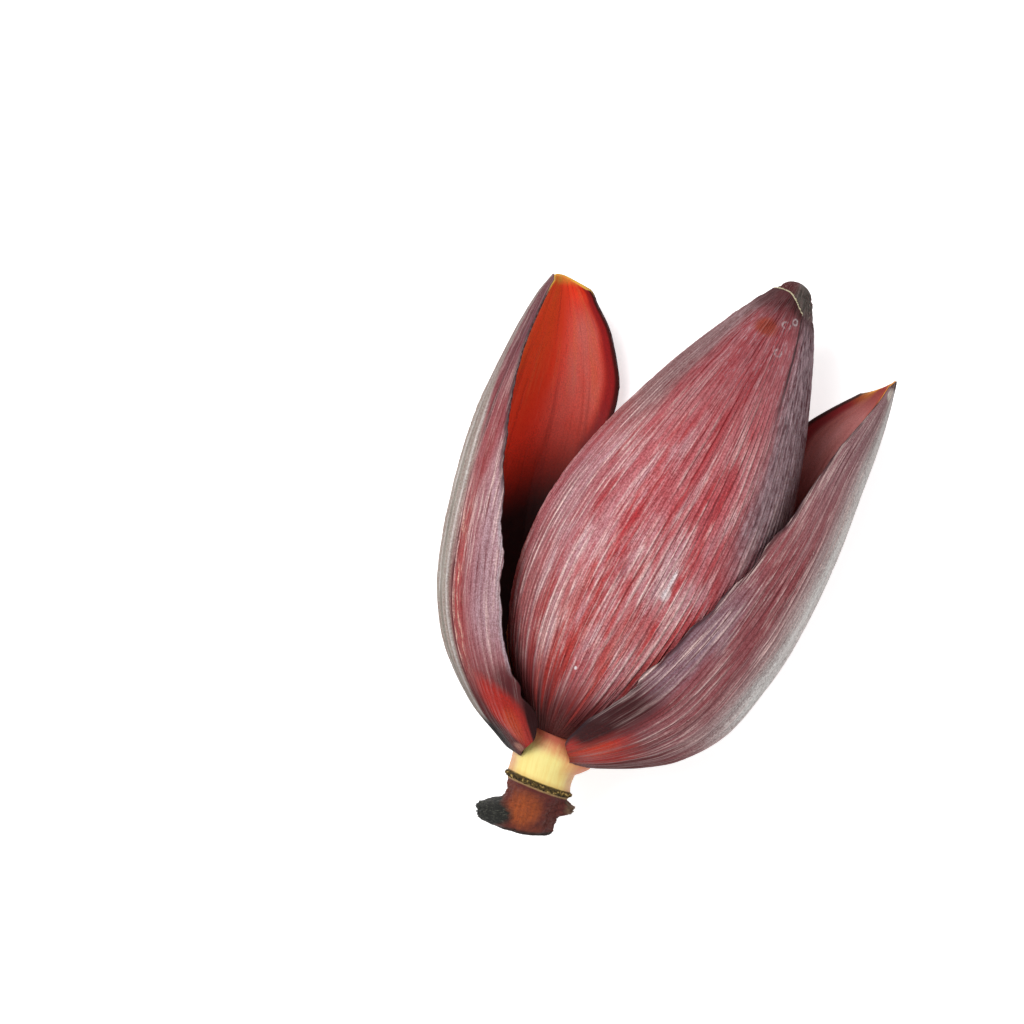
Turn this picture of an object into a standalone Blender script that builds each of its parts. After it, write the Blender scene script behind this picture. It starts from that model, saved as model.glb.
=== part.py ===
"""Banana blossom, cut with a short stump of its stalk and laid on its belly.

Two of the outer bracts have opened, one to each side. A third still wraps the front of the closed
bud, whose tip stands a little out of its hood. A hand of male flowers sits in the axil of each
opened bract. +Y runs along the bud from the stalk to the tip, +X is the bud's right side seen from
above, +Z is up, and the blossom rests on z = 0. The origin is under the middle of its outer box.
"""

from bisect import bisect_right
import math

import bmesh
import bpy
from mathutils import Vector

MM = 0.001

# The closed bud.
BUD_LENGTH = 230 * MM
BUD_RADIUS = 52.2 * MM
FULLEST_AT = 0.39            # share of the length at which the bud is thickest
FULLNESS = 0.80              # under 1 makes the ends of the profile blunter than a sine's
NECK_RADIUS = 13.3 * MM
NECK_FADE = 6                # how fast the neck's own radius stops counting up the bud

# Walls, and the room that each layer leaves for the next.
WALL = 2.0 * MM
GAP = 0.3 * MM
LAYER = WALL + 3 * GAP       # from one layer of the bud down to the next, across its facets
MARGIN_WALL = 0.6            # share of the wall that is left along the margins and at the tip
BELLY_FLAT = 1.2 * MM        # how much the weight has pressed the belly flat
AXIS_HEIGHT = BUD_RADIUS - LAYER - BELLY_FLAT

# The bud's base on the stalk, which puts the origin under the middle of the outer box.
BASE = Vector((11.5 * MM, -92.0 * MM, AXIS_HEIGHT))

# Fineness of the solids, and their relief.
ROWS = 28
COLUMNS = 18
BUD_SIDES = 36
BUD_RINGS = 26
RIB_HEIGHT = 0.5 * MM

# Opened bracts: each section is an arc whose centre stands off a straight chord. The columns are
# the share of the chord, the arc's radius, the centre's shift towards +X, its lift, and the angles
# of the upper and the lower margin (0 points to +X, 90 up).
LEFT_LENGTH = 209 * MM
LEFT_HEADING = -24.6
LEFT_ROOT = Vector((-6.1 * MM, -7.3 * MM, 0))
LEFT_STATIONS = (
    (0.000, 16.7, 6.1, 0.0, 114, 254),
    (0.023, 21.0, 6.1, -0.2, 107, 257),
    (0.090, 31.2, 3.6, -1.0, 100, 262),
    (0.200, 41.4, 1.3, -2.3, 106, 268),
    (0.310, 43.6, -1.8, -3.7, 108, 274),
    (0.430, 43.8, -1.2, -5.2, 110, 280),
    (0.580, 42.0, 1.8, -7.0, 118, 292),
    (0.730, 37.5, 5.6, -8.8, 128, 306),
    (0.870, 25.8, 6.2, -10.5, 136, 315),
    (0.957, 14.6, 4.2, -11.5, 133, 315),
    (1.000, 6.5, 2.5, -12.0, 130, 312),
)
CREASE_ANGLE = 146
CREASE_DEPTH = 1.0 * MM
CREASE_SPREAD = 9

RIGHT_LENGTH = 218.5 * MM
RIGHT_HEADING = 12.5
RIGHT_ROOT = Vector((11.4 * MM, -2.4 * MM, 0))
RIGHT_STATIONS = (
    (0.000, 17.6, -11.7, 0.0, 54, -78),
    (0.024, 23.4, -10.6, 0.0, 72, -81),
    (0.080, 33.6, -8.0, 0.4, 80, -85),
    (0.146, 41.2, -4.6, 1.6, 90, -85),
    (0.233, 43.6, 0.0, 3.6, 95, -82),
    (0.340, 43.0, 2.8, 4.6, 96, -81),
    (0.468, 40.6, 3.2, 3.0, 93, -86),
    (0.636, 32.8, 1.0, 0.0, 89, -100),
    (0.800, 25.0, -4.8, -3.4, 82, -118),
    (0.870, 20.0, -5.4, -5.2, 79, -117),
    (0.940, 12.4, -4.0, -6.2, 76, -114),
    (1.000, 4.5, -1.8, -7.0, 70, -108),
)

# The front bract follows the bud: share of the bud's length, then half of the angle it wraps.
FRONT_END = 0.968
FRONT_WRAP = ((0.0, 84), (0.12, 98), (0.45, 110), (0.8, 106), (0.93, 98), (1.0, 92))

# The closed bud inside it. Its tip stands out of the hood, and on its back the edge of one bract
# overlaps the next: share of the length, then the edge's bearing.
TIP_STARTS = 0.952
TIP_RADIUS = 4.9 * MM
TIP_LEAN = 1.2 * MM
EDGE_LINE = ((0.0, 318), (0.3, 304), (0.6, 302), (0.85, 316), (1.0, 345))
EDGE_STEP = 1.0 * MM
EDGE_RUN = 34

# Hands of male flowers in the axils of the opened bracts.
FLOWERS = 8
FLOWER_SIDES = 6
FLOWER_FOOT = 5.5 * MM
FLOWER_LENGTH = 34 * MM
FLOWER_RADIUS = 2.7 * MM
FLOWER_OUTLINE = ((0.0, 0.7), (0.1, 0.72), (0.25, 0.8), (0.5, 0.95), (0.8, 1.0), (1.0, 0.4))
CUSHION_SPAN = (3.2 * MM, 8.0 * MM)
CUSHION_DEPTH = 5.5 * MM
CUSHION_STEPS = 12
LEFT_HAND = (146, 244)
RIGHT_HAND = (30, -66)

# The stalk: distance down from the bud, and radius. Its centre line leans away from the bud's axis.
STALK_PROFILE = (
    (0.3, 13.2),
    (3.0, 14.2),
    (7.0, 14.0),
    (15.0, 13.9),
    (19.5, 14.1),
    (20.3, 15.4),
    (22.3, 15.6),
    (23.2, 13.4),
    (26.0, 12.8),
    (31.0, 12.2),
    (35.5, 11.7),
    (40.5, 11.3),
)
STALK_DRIFT = 0.0966         # mm of drift to the right per mm of depth to the power below
STALK_CURVE = 1.293
LEVEL_DEPTH = 12.0           # the sections turn with the centre line only below this depth
STALK_SIDES = 28
# Old scars that stick out of the stalk: distance down, its spread, bearing, its spread, height.
STALK_SCARS = (
    (36.0, 4.0, 180, 34, 12.5),
    (28.0, 2.8, 5, 24, 4.5),
    (7.0, 2.6, 0, 48, 5.0),
)


def clear_scene():
    """Start from an empty scene."""
    for thing in list(bpy.data.objects):
        bpy.data.objects.remove(thing, do_unlink=True)


def make_material(name, colour, roughness):
    """One Principled finish."""
    finish = bpy.data.materials.new(name)
    finish.use_nodes = True
    shader = finish.node_tree.nodes["Principled BSDF"]
    shader.inputs["Base Color"].default_value = (*colour, 1.0)
    shader.inputs["Roughness"].default_value = roughness
    shader.inputs["Metallic"].default_value = 0.0
    return finish


def along(stations, column, share):
    """One column of a table of stations at any share, joined by smooth cubic curves."""
    places = [row[0] for row in stations]
    values = [row[column] for row in stations]
    last = len(places) - 1
    start = min(max(bisect_right(places, share) - 1, 0), last - 1)
    span = places[start + 1] - places[start]
    t = (share - places[start]) / span

    def slope(index):
        before = max(index - 1, 0)
        after = min(index + 1, last)
        return (values[after] - values[before]) / (places[after] - places[before])

    rise = values[start + 1] - values[start]
    bend_in = slope(start) * span - rise
    bend_out = rise - slope(start + 1) * span
    return values[start] + t * rise + t * (1 - t) * ((1 - t) * bend_in + t * bend_out)


def bud_radius(share):
    """Outer radius of the bud at a share of its length, from the neck to the tip."""
    power = math.log(0.5) / math.log(FULLEST_AT)
    swell = BUD_RADIUS * max(math.sin(math.pi * min(share, 1.0) ** power), 0.0) ** FULLNESS
    neck = NECK_RADIUS * (1 - share) ** NECK_FADE
    return (swell ** 4 + neck ** 4) ** 0.25


def spread(index, count):
    """Shares from 0 to 1 that lie closer together near both ends."""
    t = index / count
    return 0.45 * t + 0.55 * (0.5 - 0.5 * math.cos(math.pi * t))


def ribs(column, share):
    """Lengthwise ribs: every other column stands proud, fading out at the base and the tip."""
    height = RIB_HEIGHT if column % 2 else 0.0
    return height * math.sin(math.pi * min(max(share, 0.0), 1.0)) ** 0.5


def sheet_mesh(name, rows):
    """A triangulated sheet through a grid of points, given row by row."""
    shell = bmesh.new()
    grid = [[shell.verts.new(point) for point in row] for row in rows]
    for lower, upper in zip(grid, grid[1:]):
        for column in range(len(lower) - 1):
            a, b = lower[column], lower[column + 1]
            c, d = upper[column + 1], upper[column]
            shell.faces.new((a, b, c))
            shell.faces.new((a, c, d))
    mesh = bpy.data.meshes.new(name)
    shell.to_mesh(mesh)
    shell.free()
    return mesh


def add_object(name, mesh, finish):
    """Put a mesh in the scene with its finish, shaded smooth."""
    mesh.materials.append(finish)
    mesh.shade_smooth()
    thing = bpy.data.objects.new(name, mesh)
    bpy.context.collection.objects.link(thing)
    return thing


def add_wall(thing, thin):
    """Give a sheet its wall on the inside, thinner where the point's number is in thin."""
    group = thing.vertex_groups.new(name="wall")
    group.add(range(len(thing.data.vertices)), 1.0, "REPLACE")
    group.add(thin, MARGIN_WALL, "REPLACE")
    wall = thing.modifiers.new("wall", "SOLIDIFY")
    wall.thickness = WALL
    wall.offset = -1.0
    wall.vertex_group = "wall"
    wall.thickness_vertex_group = 0.0


def rim_points(rows, columns):
    """Numbers of the points along a sheet's two margins and its tip."""
    width = columns + 1
    sides = [row * width + edge for row in range(rows + 1) for edge in (0, columns)]
    return sides + [rows * width + column for column in range(width)]


def opened_bract(name, finish, root, heading, length, stations, crease=False):
    """An opened bract as a thin boat-shaped shell around its chord."""
    turn = math.radians(heading)
    forward = Vector((math.sin(turn), math.cos(turn), 0))
    sideways = Vector((math.cos(turn), -math.sin(turn), 0))
    up = Vector((0, 0, 1))
    rows = []
    for row in range(ROWS + 1):
        share = spread(row, ROWS)
        radius, shift, lift, upper, lower = (along(stations, i, share) for i in range(1, 6))
        centre = BASE + root + forward * (length * share) + sideways * (shift * MM) + up * (lift * MM)
        points = []
        for column in range(COLUMNS + 1):
            angle = upper + (lower - upper) * column / COLUMNS
            reach = radius * MM + ribs(column, share)
            if crease:
                off = (angle - CREASE_ANGLE) / CREASE_SPREAD
                reach -= CREASE_DEPTH * math.exp(-off * off) * math.sin(math.pi * share)
            bearing = math.radians(angle)
            point = centre + (sideways * math.cos(bearing) + up * math.sin(bearing)) * reach
            point.z = max(point.z, 0.0)
            points.append(point)
        if lower > upper:
            points.reverse()
        rows.append(points)
    thing = add_object(name, sheet_mesh(name, rows), finish)
    add_wall(thing, rim_points(ROWS, COLUMNS))
    return thing


def front_bract(finish):
    """The bract that still wraps the bud's front, open at its hooded tip."""
    rows = []
    for row in range(ROWS + 1):
        share = spread(row, ROWS)
        wrap = along(FRONT_WRAP, 1, share)
        radius = bud_radius(share * FRONT_END)
        points = []
        for column in range(COLUMNS + 1):
            bearing = math.radians(90 + wrap - 2 * wrap * column / COLUMNS)
            reach = radius + ribs(column, share)
            offset = Vector((math.cos(bearing) * reach, 0, math.sin(bearing) * reach))
            points.append(BASE + Vector((0, share * FRONT_END * BUD_LENGTH, 0)) + offset)
        rows.append(points)
    thing = add_object("bract_front", sheet_mesh("bract_front", rows), finish)
    add_wall(thing, rim_points(ROWS, COLUMNS))
    return thing


def core_radius(share):
    """Radius of the closed bud under the front bract, out to its own rounded tip."""
    if share < TIP_STARTS:
        probe = 0.005
        slope = (bud_radius(share + probe) - bud_radius(share)) / (probe * BUD_LENGTH)
        return bud_radius(share) - LAYER * math.hypot(1, slope)
    t = (share - TIP_STARTS) / (1.0 - TIP_STARTS)
    return TIP_RADIUS * math.sqrt(max(1 - t * t, 0.0))


def revolve(name, rings, finish):
    """A closed body through rings of points, with a flat or pointed cap at each end."""
    body = bmesh.new()
    loops = [[body.verts.new(point) for point in ring] for ring in rings]
    sides = len(loops[0])
    for lower, upper in zip(loops, loops[1:]):
        for i in range(sides):
            j = (i + 1) % sides
            body.faces.new((lower[i], lower[j], upper[j]))
            body.faces.new((lower[i], upper[j], upper[i]))
    body.faces.new(loops[0])
    body.faces.new(loops[-1])
    bmesh.ops.recalc_face_normals(body, faces=body.faces)
    mesh = bpy.data.meshes.new(name)
    body.to_mesh(mesh)
    body.free()
    return add_object(name, mesh, finish)


def closed_bud(finish):
    """The bud that is still closed, with the overlap of its bracts in relief, pressed flat below."""
    rings = []
    for ring in range(BUD_RINGS + 1):
        share = spread(ring, BUD_RINGS) * 0.998
        edge = along(EDGE_LINE, 1, share)
        lean = TIP_LEAN * max(share - 0.8, 0.0) / 0.2
        points = []
        for side in range(BUD_SIDES):
            angle = 360 * side / BUD_SIDES
            past = (angle - edge) % 360
            sunk = EDGE_STEP * math.exp(-past / EDGE_RUN) * math.sin(math.pi * share) ** 0.5
            reach = core_radius(share) - sunk
            bearing = math.radians(angle)
            point = BASE + Vector((lean + reach * math.cos(bearing), share * BUD_LENGTH,
                                   reach * math.sin(bearing)))
            point.z = max(point.z, 0.0)
            points.append(point)
        rings.append(points)
    return revolve("bud", rings, finish)


def stalk(finish):
    """The stump: pale neck, crusty ring, brown lower part, and the scars of shed bracts."""
    rings = []
    for down, radius in STALK_PROFILE:
        drift = STALK_DRIFT * down ** STALK_CURVE
        centre = BASE + Vector((drift * MM, -down * MM, 0))
        lean = STALK_CURVE * drift / down * min(down / LEVEL_DEPTH, 1.0) ** 2
        sideways = Vector((1, lean, 0)).normalized()
        points = []
        for side in range(STALK_SIDES):
            angle = 360 * side / STALK_SIDES
            reach = radius
            for place, length, bearing, width, height in STALK_SCARS:
                turn = (angle - bearing + 180) % 360 - 180
                reach += height * math.exp(-((down - place) / length) ** 2 - (turn / width) ** 2)
            bearing = math.radians(angle)
            points.append(centre + sideways * (reach * MM * math.cos(bearing))
                          + Vector((0, 0, reach * MM * math.sin(bearing))))
        rings.append(points)
    return revolve("stalk", rings, finish)


def room_outside(bearing, distance, root, heading, length, stations):
    """How far out from the bud's axis one can go before meeting an opened bract's inner face."""
    turn = math.radians(heading)
    forward = Vector((math.sin(turn), math.cos(turn), 0))
    sideways = Vector((math.cos(turn), -math.sin(turn), 0))
    reach = bud_radius(distance / BUD_LENGTH)
    step = 0.25 * MM
    for _ in range(400):
        point = Vector((reach * math.cos(bearing), distance, reach * math.sin(bearing))) - root
        share = min(max(point.dot(forward) / length, 0.0), 1.0)
        radius, shift, lift = (along(stations, i, share) * MM for i in range(1, 4))
        off = math.hypot(point.dot(sideways) - shift, point.z - lift)
        if off > radius - WALL - GAP:
            break
        reach += step
    return reach - step


def flower_hand(name, finish, bearings, root, heading, length, stations):
    """One hand of flowers: a fleshy cushion with a row of slim flowers, fused into one body."""
    def between(bearing, distance, share):
        near = bud_radius(distance / BUD_LENGTH) + RIB_HEIGHT + GAP
        far = room_outside(bearing, distance, root, heading, length, stations)
        return near, far, near + (far - near) * share

    def place(bearing, distance, reach):
        return BASE + Vector((reach * math.cos(bearing), distance, reach * math.sin(bearing)))

    start, end = (math.radians(angle) for angle in bearings)
    low, high = CUSHION_SPAN
    rings = []
    for step in range(CUSHION_STEPS + 1):
        bearing = start + (end - start) * step / CUSHION_STEPS
        ring = []
        for distance, outer in ((low, 0), (low, 1), (high, 1), (high, 0)):
            near, far, _ = between(bearing, distance, 0)
            ring.append(place(bearing, distance, min(far, near + CUSHION_DEPTH) if outer else near))
        rings.append(ring)
    cushion = revolve(name, rings, finish)

    flowers = bpy.data.collections.new(name + "_flowers")
    bpy.context.scene.collection.children.link(flowers)
    for number in range(FLOWERS):
        bearing = start + (end - start) * (number + 0.5) / FLOWERS
        rings = []
        for share, width in FLOWER_OUTLINE:
            distance = FLOWER_FOOT + FLOWER_LENGTH * share
            near, far, middle = between(bearing, distance, 0.45 if number % 2 else 0.55)
            rooted = (near + min(far, near + CUSHION_DEPTH)) / 2
            middle = rooted + (middle - rooted) * min(share * 2, 1.0)
            radius = width * min(FLOWER_RADIUS, (far - near) * 0.4)
            across = Vector((-math.sin(bearing), 0, math.cos(bearing)))
            outward = Vector((math.cos(bearing), 0, math.sin(bearing)))
            centre = place(bearing, distance, middle)
            rings.append([centre + across * (radius * math.cos(2 * math.pi * i / FLOWER_SIDES))
                          + outward * (radius * math.sin(2 * math.pi * i / FLOWER_SIDES))
                          for i in range(FLOWER_SIDES)])
        flower = revolve(name + "_flower", rings, finish)
        flowers.objects.link(flower)
        bpy.context.collection.objects.unlink(flower)

    join = cushion.modifiers.new("join", "BOOLEAN")
    join.operation = "UNION"
    join.operand_type = "COLLECTION"
    join.collection = flowers
    fused = bpy.data.meshes.new_from_object(
        cushion.evaluated_get(bpy.context.evaluated_depsgraph_get()))
    cushion.modifiers.remove(join)
    cushion.data = fused
    for flower in list(flowers.objects):
        bpy.data.objects.remove(flower, do_unlink=True)
    bpy.data.collections.remove(flowers)
    return cushion


clear_scene()
SKIN = make_material("bract_skin", (0.42, 0.13, 0.15), 0.55)
WOOD = make_material("stalk_flesh", (0.55, 0.35, 0.18), 0.7)
PETAL = make_material("flower_flesh", (0.85, 0.72, 0.42), 0.5)
LEFT = (LEFT_ROOT, LEFT_HEADING, LEFT_LENGTH, LEFT_STATIONS)
RIGHT = (RIGHT_ROOT, RIGHT_HEADING, RIGHT_LENGTH, RIGHT_STATIONS)
stalk(WOOD)
closed_bud(SKIN)
front_bract(SKIN)
opened_bract("bract_left", SKIN, *LEFT, crease=True)
opened_bract("bract_right", SKIN, *RIGHT)
flower_hand("florets_left", PETAL, LEFT_HAND, *LEFT)
flower_hand("florets_right", PETAL, RIGHT_HAND, *RIGHT)
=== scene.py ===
"""Banana blossom: the finished look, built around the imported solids.

The file is laid out as an add-on and run as a script. Each operator makes one piece, or a group of
like pieces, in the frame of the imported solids, and hides the plain solids that it stands for.
"""

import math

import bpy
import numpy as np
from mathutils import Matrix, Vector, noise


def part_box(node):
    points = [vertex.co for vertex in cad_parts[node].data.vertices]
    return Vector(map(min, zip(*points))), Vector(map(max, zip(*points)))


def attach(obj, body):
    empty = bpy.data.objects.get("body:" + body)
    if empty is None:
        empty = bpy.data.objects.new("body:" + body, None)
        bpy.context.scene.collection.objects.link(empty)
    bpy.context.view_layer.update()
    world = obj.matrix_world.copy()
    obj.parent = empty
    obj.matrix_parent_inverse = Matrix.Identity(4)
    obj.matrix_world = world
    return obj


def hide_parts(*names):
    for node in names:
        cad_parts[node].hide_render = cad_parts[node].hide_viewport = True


bl_info = {
    "name": "Banana Blossom",
    "version": (1, 0, 0),
    "blender": (4, 5, 0),
    "location": "View3D > Sidebar > Blossom",
    "description": "Builds a cut banana blossom around its packed solids",
    "category": "Add Mesh",
}

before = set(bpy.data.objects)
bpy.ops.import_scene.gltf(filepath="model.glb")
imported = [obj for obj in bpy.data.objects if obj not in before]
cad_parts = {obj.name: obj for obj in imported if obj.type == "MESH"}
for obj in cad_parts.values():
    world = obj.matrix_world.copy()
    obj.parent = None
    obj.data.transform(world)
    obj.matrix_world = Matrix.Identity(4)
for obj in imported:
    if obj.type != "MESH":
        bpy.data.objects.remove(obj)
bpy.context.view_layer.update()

MM = 0.001


def box_ends(node):
    """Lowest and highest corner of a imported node."""
    low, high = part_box(node)
    return Vector(low), Vector(high)


FRONT_LOW, FRONT_HIGH = box_ends("bract_front")
AXIS_HEIGHT = 48.1 * MM
BASE = Vector(((FRONT_LOW.x + FRONT_HIGH.x) / 2, FRONT_LOW.y, AXIS_HEIGHT))

# The closed bud, as in the solids.
BUD_LENGTH = 230 * MM
BUD_RADIUS = 52.2 * MM
FULLEST_AT = 0.39
FULLNESS = 0.80
NECK_RADIUS = 13.3 * MM
NECK_FADE = 6
LAYER = 2.9 * MM

# Share of the chord, arc radius, shift towards +X, lift, upper margin's and lower margin's bearing.
LEFT_STATIONS = (
    (0.000, 16.7, 6.1, 0.0, 114, 254),
    (0.023, 21.0, 6.1, -0.2, 107, 257),
    (0.090, 31.2, 3.6, -1.0, 100, 262),
    (0.200, 41.4, 1.3, -2.3, 106, 268),
    (0.310, 43.6, -1.8, -3.7, 108, 274),
    (0.430, 43.8, -1.2, -5.2, 110, 280),
    (0.580, 42.0, 1.8, -7.0, 118, 292),
    (0.730, 37.5, 5.6, -8.8, 128, 306),
    (0.870, 25.8, 6.2, -10.5, 136, 315),
    (0.957, 14.6, 4.2, -11.5, 133, 315),
    (1.000, 6.5, 2.5, -12.0, 130, 312),
)
RIGHT_STATIONS = (
    (0.000, 17.6, -11.7, 0.0, 54, -78),
    (0.024, 23.4, -10.6, 0.0, 72, -81),
    (0.080, 33.6, -8.0, 0.4, 80, -85),
    (0.146, 41.2, -4.6, 1.6, 90, -85),
    (0.233, 43.6, 0.0, 3.6, 95, -82),
    (0.340, 42.2, 2.0, 4.6, 96, -81),
    (0.468, 38.8, 2.3, 3.0, 93, -86),
    (0.636, 31.3, 0.3, 0.0, 89, -100),
    (0.800, 24.0, -5.4, -3.4, 82, -118),
    (0.870, 18.4, -5.4, -5.2, 79, -117),
    (0.940, 10.2, -3.8, -6.2, 76, -114),
    (1.000, 3.6, -3.8, -7.0, 70, -108),
)
FRONT_WRAP = ((0.0, 84), (0.12, 98), (0.45, 110), (0.8, 106), (0.93, 98), (1.0, 92))
EDGE_LINE = ((0.0, 318), (0.3, 304), (0.6, 302), (0.85, 316), (1.0, 345))
LEFT_CHORD = (Vector((-6.1 * MM, -7.3 * MM, 0)), -24.6, 209 * MM)
RIGHT_CHORD = (Vector((11.4 * MM, -2.4 * MM, 0)), 12.5, 218.5 * MM)

# Where an opened bract starts and stops, by the share across it from its upper margin.
LEFT_START = ((0.0, 0.034), (0.03, 0.016), (0.06, 0.003), (0.1, -0.008), (0.18, -0.003), (0.35, 0.005),
              (1.0, 0.03))
LEFT_STOP = ((0.0, 0.990), (0.1, 1.0), (0.3, 1.001), (0.42, 0.997), (0.5, 1.001), (0.7, 0.999),
             (0.85, 0.990), (1.0, 0.972))
RIGHT_START = ((0.0, 0.03), (0.04, 0.010), (0.1, -0.004), (0.2, 0.0), (1.0, 0.02))
RIGHT_STOP = ((0.0, 0.982), (0.1, 0.994), (0.2, 1.0), (0.35, 0.999), (0.5, 0.997), (0.7, 0.990),
              (0.85, 0.972), (1.0, 0.935))

# The bud's blunt upper end: share, added radius and lean towards +X.
BLUNT = ((0.0, 0.0, 0.0), (0.4, 0.0, 0.0), (0.65, 0.0, 1.0), (0.77, 0.7, 1.1), (0.85, 1.5, 1.2),
         (0.90, 2.1, 1.2), (0.94, 2.2, 1.2), (0.97, 2.4, 1.1), (1.0, 2.4, 0.6))
# Where the front bract's hood ends, by bearing.
HOOD = ((-40, 0.940), (50, 0.940), (60, 0.944), (67, 0.950), (75, 0.955), (86, 0.963), (108, 0.971),
        (135, 0.971), (160, 0.968), (220, 0.962))
# The hood's step is at a bearing, and its nearness to the rim is counted in tenths of the length.
STEP_BEARING = 60.0
RIM_SCALE = 10
# The bud's nose starts and ends at these shares, as round as a ball.
NOSE_START = 0.971
BUD_END = 0.9945
NOSE_RADIUS = 7.3 * MM
# Pale marks on the front bract, thin rings and rubbed spots: bearing, share of the length, size
# across in degrees and size along.
SMALL_RINGS = ((84.0, 0.912, 9.0, 0.009), (80.0, 0.860, 6.5, 0.009), (72.0, 0.925, 7.0, 0.008))
RUBBED_SPOTS = ((78.0, 0.376, 2.9, 0.017), (78.5, 0.405, 1.2, 0.030), (36.0, 0.431, 2.0, 0.010),
                (100.0, 0.172, 1.2, 0.005))
# Where the front bract starts over the neck, by bearing.
FOOT = ((-40, 0.022), (30, 0.025), (63, 0.028), (90, 0.023), (120, 0.018), (150, 0.012), (220, 0.008))

# The stalk: distance down from the bud, and radius.
STALK_PROFILE = (
    (-9.0, 12.0), (-5.0, 13.7), (-2.0, 13.5), (0.3, 13.5), (3.0, 14.2), (7.0, 14.4), (13.0, 14.2),
    (18.4, 14.4), (19.2, 14.7), (20.3, 14.8), (20.9, 14.0), (24.0, 13.2), (29.0, 12.2), (34.5, 11.3),
    (40.5, 10.3),
)
# Scars, and the shoulder: distance down, half length, bearing, half width in degrees and height.
STALK_SCARS = (
    (34.5, 5.6, 176, 30, 12.5),
    (28.6, 3.0, 2, 24, 4.9),
)
SHOULDER = (0.0, 8.5, 0, 46, 7.8)
# The ring scar: distance down, half width of its crust, and tilt sideways and upwards.
RING_DEPTH = 19.8
RING_HALF = 0.7
RING_TILT = (2.2, -1.7)
# The stalk bends sideways by drift x depth ^ curve; all of these are in millimetres.
STALK_DRIFT = 0.0966
STALK_CURVE = 1.293
LEVEL_DEPTH = 12.0
STALK_TOP = -8.5
STALK_LENGTH = 40.5

# The flowers: how far up the bud their roots are and their length, both in millimetres, then the
# gaps to the bud and to the bract, and the points of each curve.
FLOWER_ROOT = 4.5
FLOWER_LENGTH = 31
FLOWER_GAP = 0.8 * MM
FLOWER_ROOM = 2.5 * MM
FLOWER_POINTS = 10

# The studio: lamps as name, place, size and power, then the floor, the sky and the camera, whose
# view is so wide where the blossom is and is centred sideways and upwards from the bud's foot.
LAMPS = (
    ("key", (-0.75, 0.25, 1.35), 0.7, 17.0),
    ("fill", (0.9, -0.5, 1.2), 1.2, 3.0),
)
FLOOR_HALF = 3.0
FLOOR_DROP = 0.4 * MM
FLOOR_GLOW = 0.55
SKY_LIGHT = 0.50
CAMERA_TILT = 6.0
CAMERA_ROLL = 28.3
CAMERA_DISTANCE = 1.25
VIEW_WIDTH = 0.45292
VIEW_CENTRE = (-0.06269, 0.08076)
SENSOR = 36

# Relief of the finishes, and the bump's strength on the skin.
SKIN_DEPTH = 0.55 * MM
SKIN_BUMP = 0.55


def tone(red, green, blue):
    """A screen colour as the linear one that shaders use."""
    def linear(part):
        part /= 255
        return part / 12.92 if part <= 0.04045 else ((part + 0.055) / 1.055) ** 2.4
    return (linear(red), linear(green), linear(blue), 1.0)


def colour_property(name, description, value):
    """A colour that a user may change."""
    return bpy.props.FloatVectorProperty(name=name, description=description, default=value, size=4,
                                         min=0.0, max=1.0, subtype="COLOR")


def length_property(name, description, value):
    """A length that a user may change."""
    return bpy.props.FloatProperty(name=name, description=description, default=value, min=0.0,
                                   subtype="DISTANCE", unit="LENGTH")


class BlossomSizes(bpy.types.PropertyGroup):
    """Sizes of the fine surface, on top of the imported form."""
    wall: length_property("Bract wall", "Thickness of a bract away from its margins", 1.9 * MM)
    margin: length_property("Margin wall", "Thickness of a bract at its margins", 0.7 * MM)
    rib_height: length_property("Rib height", "Height of the lengthwise ribs", 0.42 * MM)
    swell: length_property("Swell", "Depth of the slow hollows in a bract", 0.7 * MM)
    front_ribs: bpy.props.IntProperty(name="Bud ribs", description="Ribs once round the bud",
                                      default=102, min=4, max=400)
    side_ribs: bpy.props.IntProperty(name="Side ribs", description="Ribs once round an opened bract",
                                     default=86, min=4, max=400)
    flowers: bpy.props.IntProperty(name="Flowers", description="Flowers in each hand",
                                   default=9, min=1, max=20)


class BlossomColours(bpy.types.PropertyGroup):
    """Colours of the blossom's surfaces."""
    rose: colour_property("Rose", "Main colour of the bracts outside", tone(182, 90, 95))
    crimson: colour_property("Crimson", "Deep red patches between the ribs", tone(170, 44, 48))
    pale: colour_property("Pale ribs", "Worn crests of the ribs", tone(240, 206, 200))
    bloom: colour_property("Bloom", "Thin waxy bloom", tone(182, 150, 158))
    # Slate is the bud's own thick bloom; on the front bract's right side it is partly painted shade as
    # well.
    slate: colour_property("Slate bloom", "Thick bloom on the bud's shaded side", tone(136, 118, 124))
    # Chalk is partly pale bloom and partly a painted reflection of the white surroundings on a bract's
    # grazing outer turn.
    chalk_and_sheen: colour_property("Chalk", "Pale bloom on the outer turn of a bract", tone(206, 202, 200))
    groove: colour_property("Groove", "Shaded lines beside the ribs", tone(112, 30, 38))
    maroon: colour_property("Maroon", "Shaded lower parts and margins", tone(74, 28, 28))
    heel: colour_property("Heel", "Glossy heel of an opened bract", tone(170, 44, 36))
    inside: colour_property("Inside", "Orange-red inner face", tone(246, 68, 40))
    # Blush is a painted sheen: a paler highlight painted into the inner face's colour; it also tints the
    # fine veins.
    blush: colour_property("Blush", "Paler sheen on the inner face", tone(214, 122, 112))
    # Painted shade deep down on the inner face, towards the bud; also the dark far rim and a painted
    # shadow line along the near margin.
    shade_and_rim: colour_property("Dusk", "Inner face deep down", tone(40, 14, 12))
    lip: colour_property("Lip", "Yellow lip at an opened bract's tip", tone(222, 168, 66))
    neck: colour_property("Neck", "Pale flesh of the stalk's neck", tone(240, 224, 142))
    crust: colour_property("Crust", "Corky ring scar", tone(104, 84, 42))
    stump: colour_property("Stump", "Brown lower stalk", tone(104, 42, 36))
    amber: colour_property("Amber", "Bare patch on the stump", tone(184, 90, 42))
    charcoal: colour_property("Charcoal", "Dried scars", tone(36, 36, 33))
    cream: colour_property("Cream", "Flowers", tone(226, 206, 158))


# ---------------------------------------------------------------------------------------------
# Node trees


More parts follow.
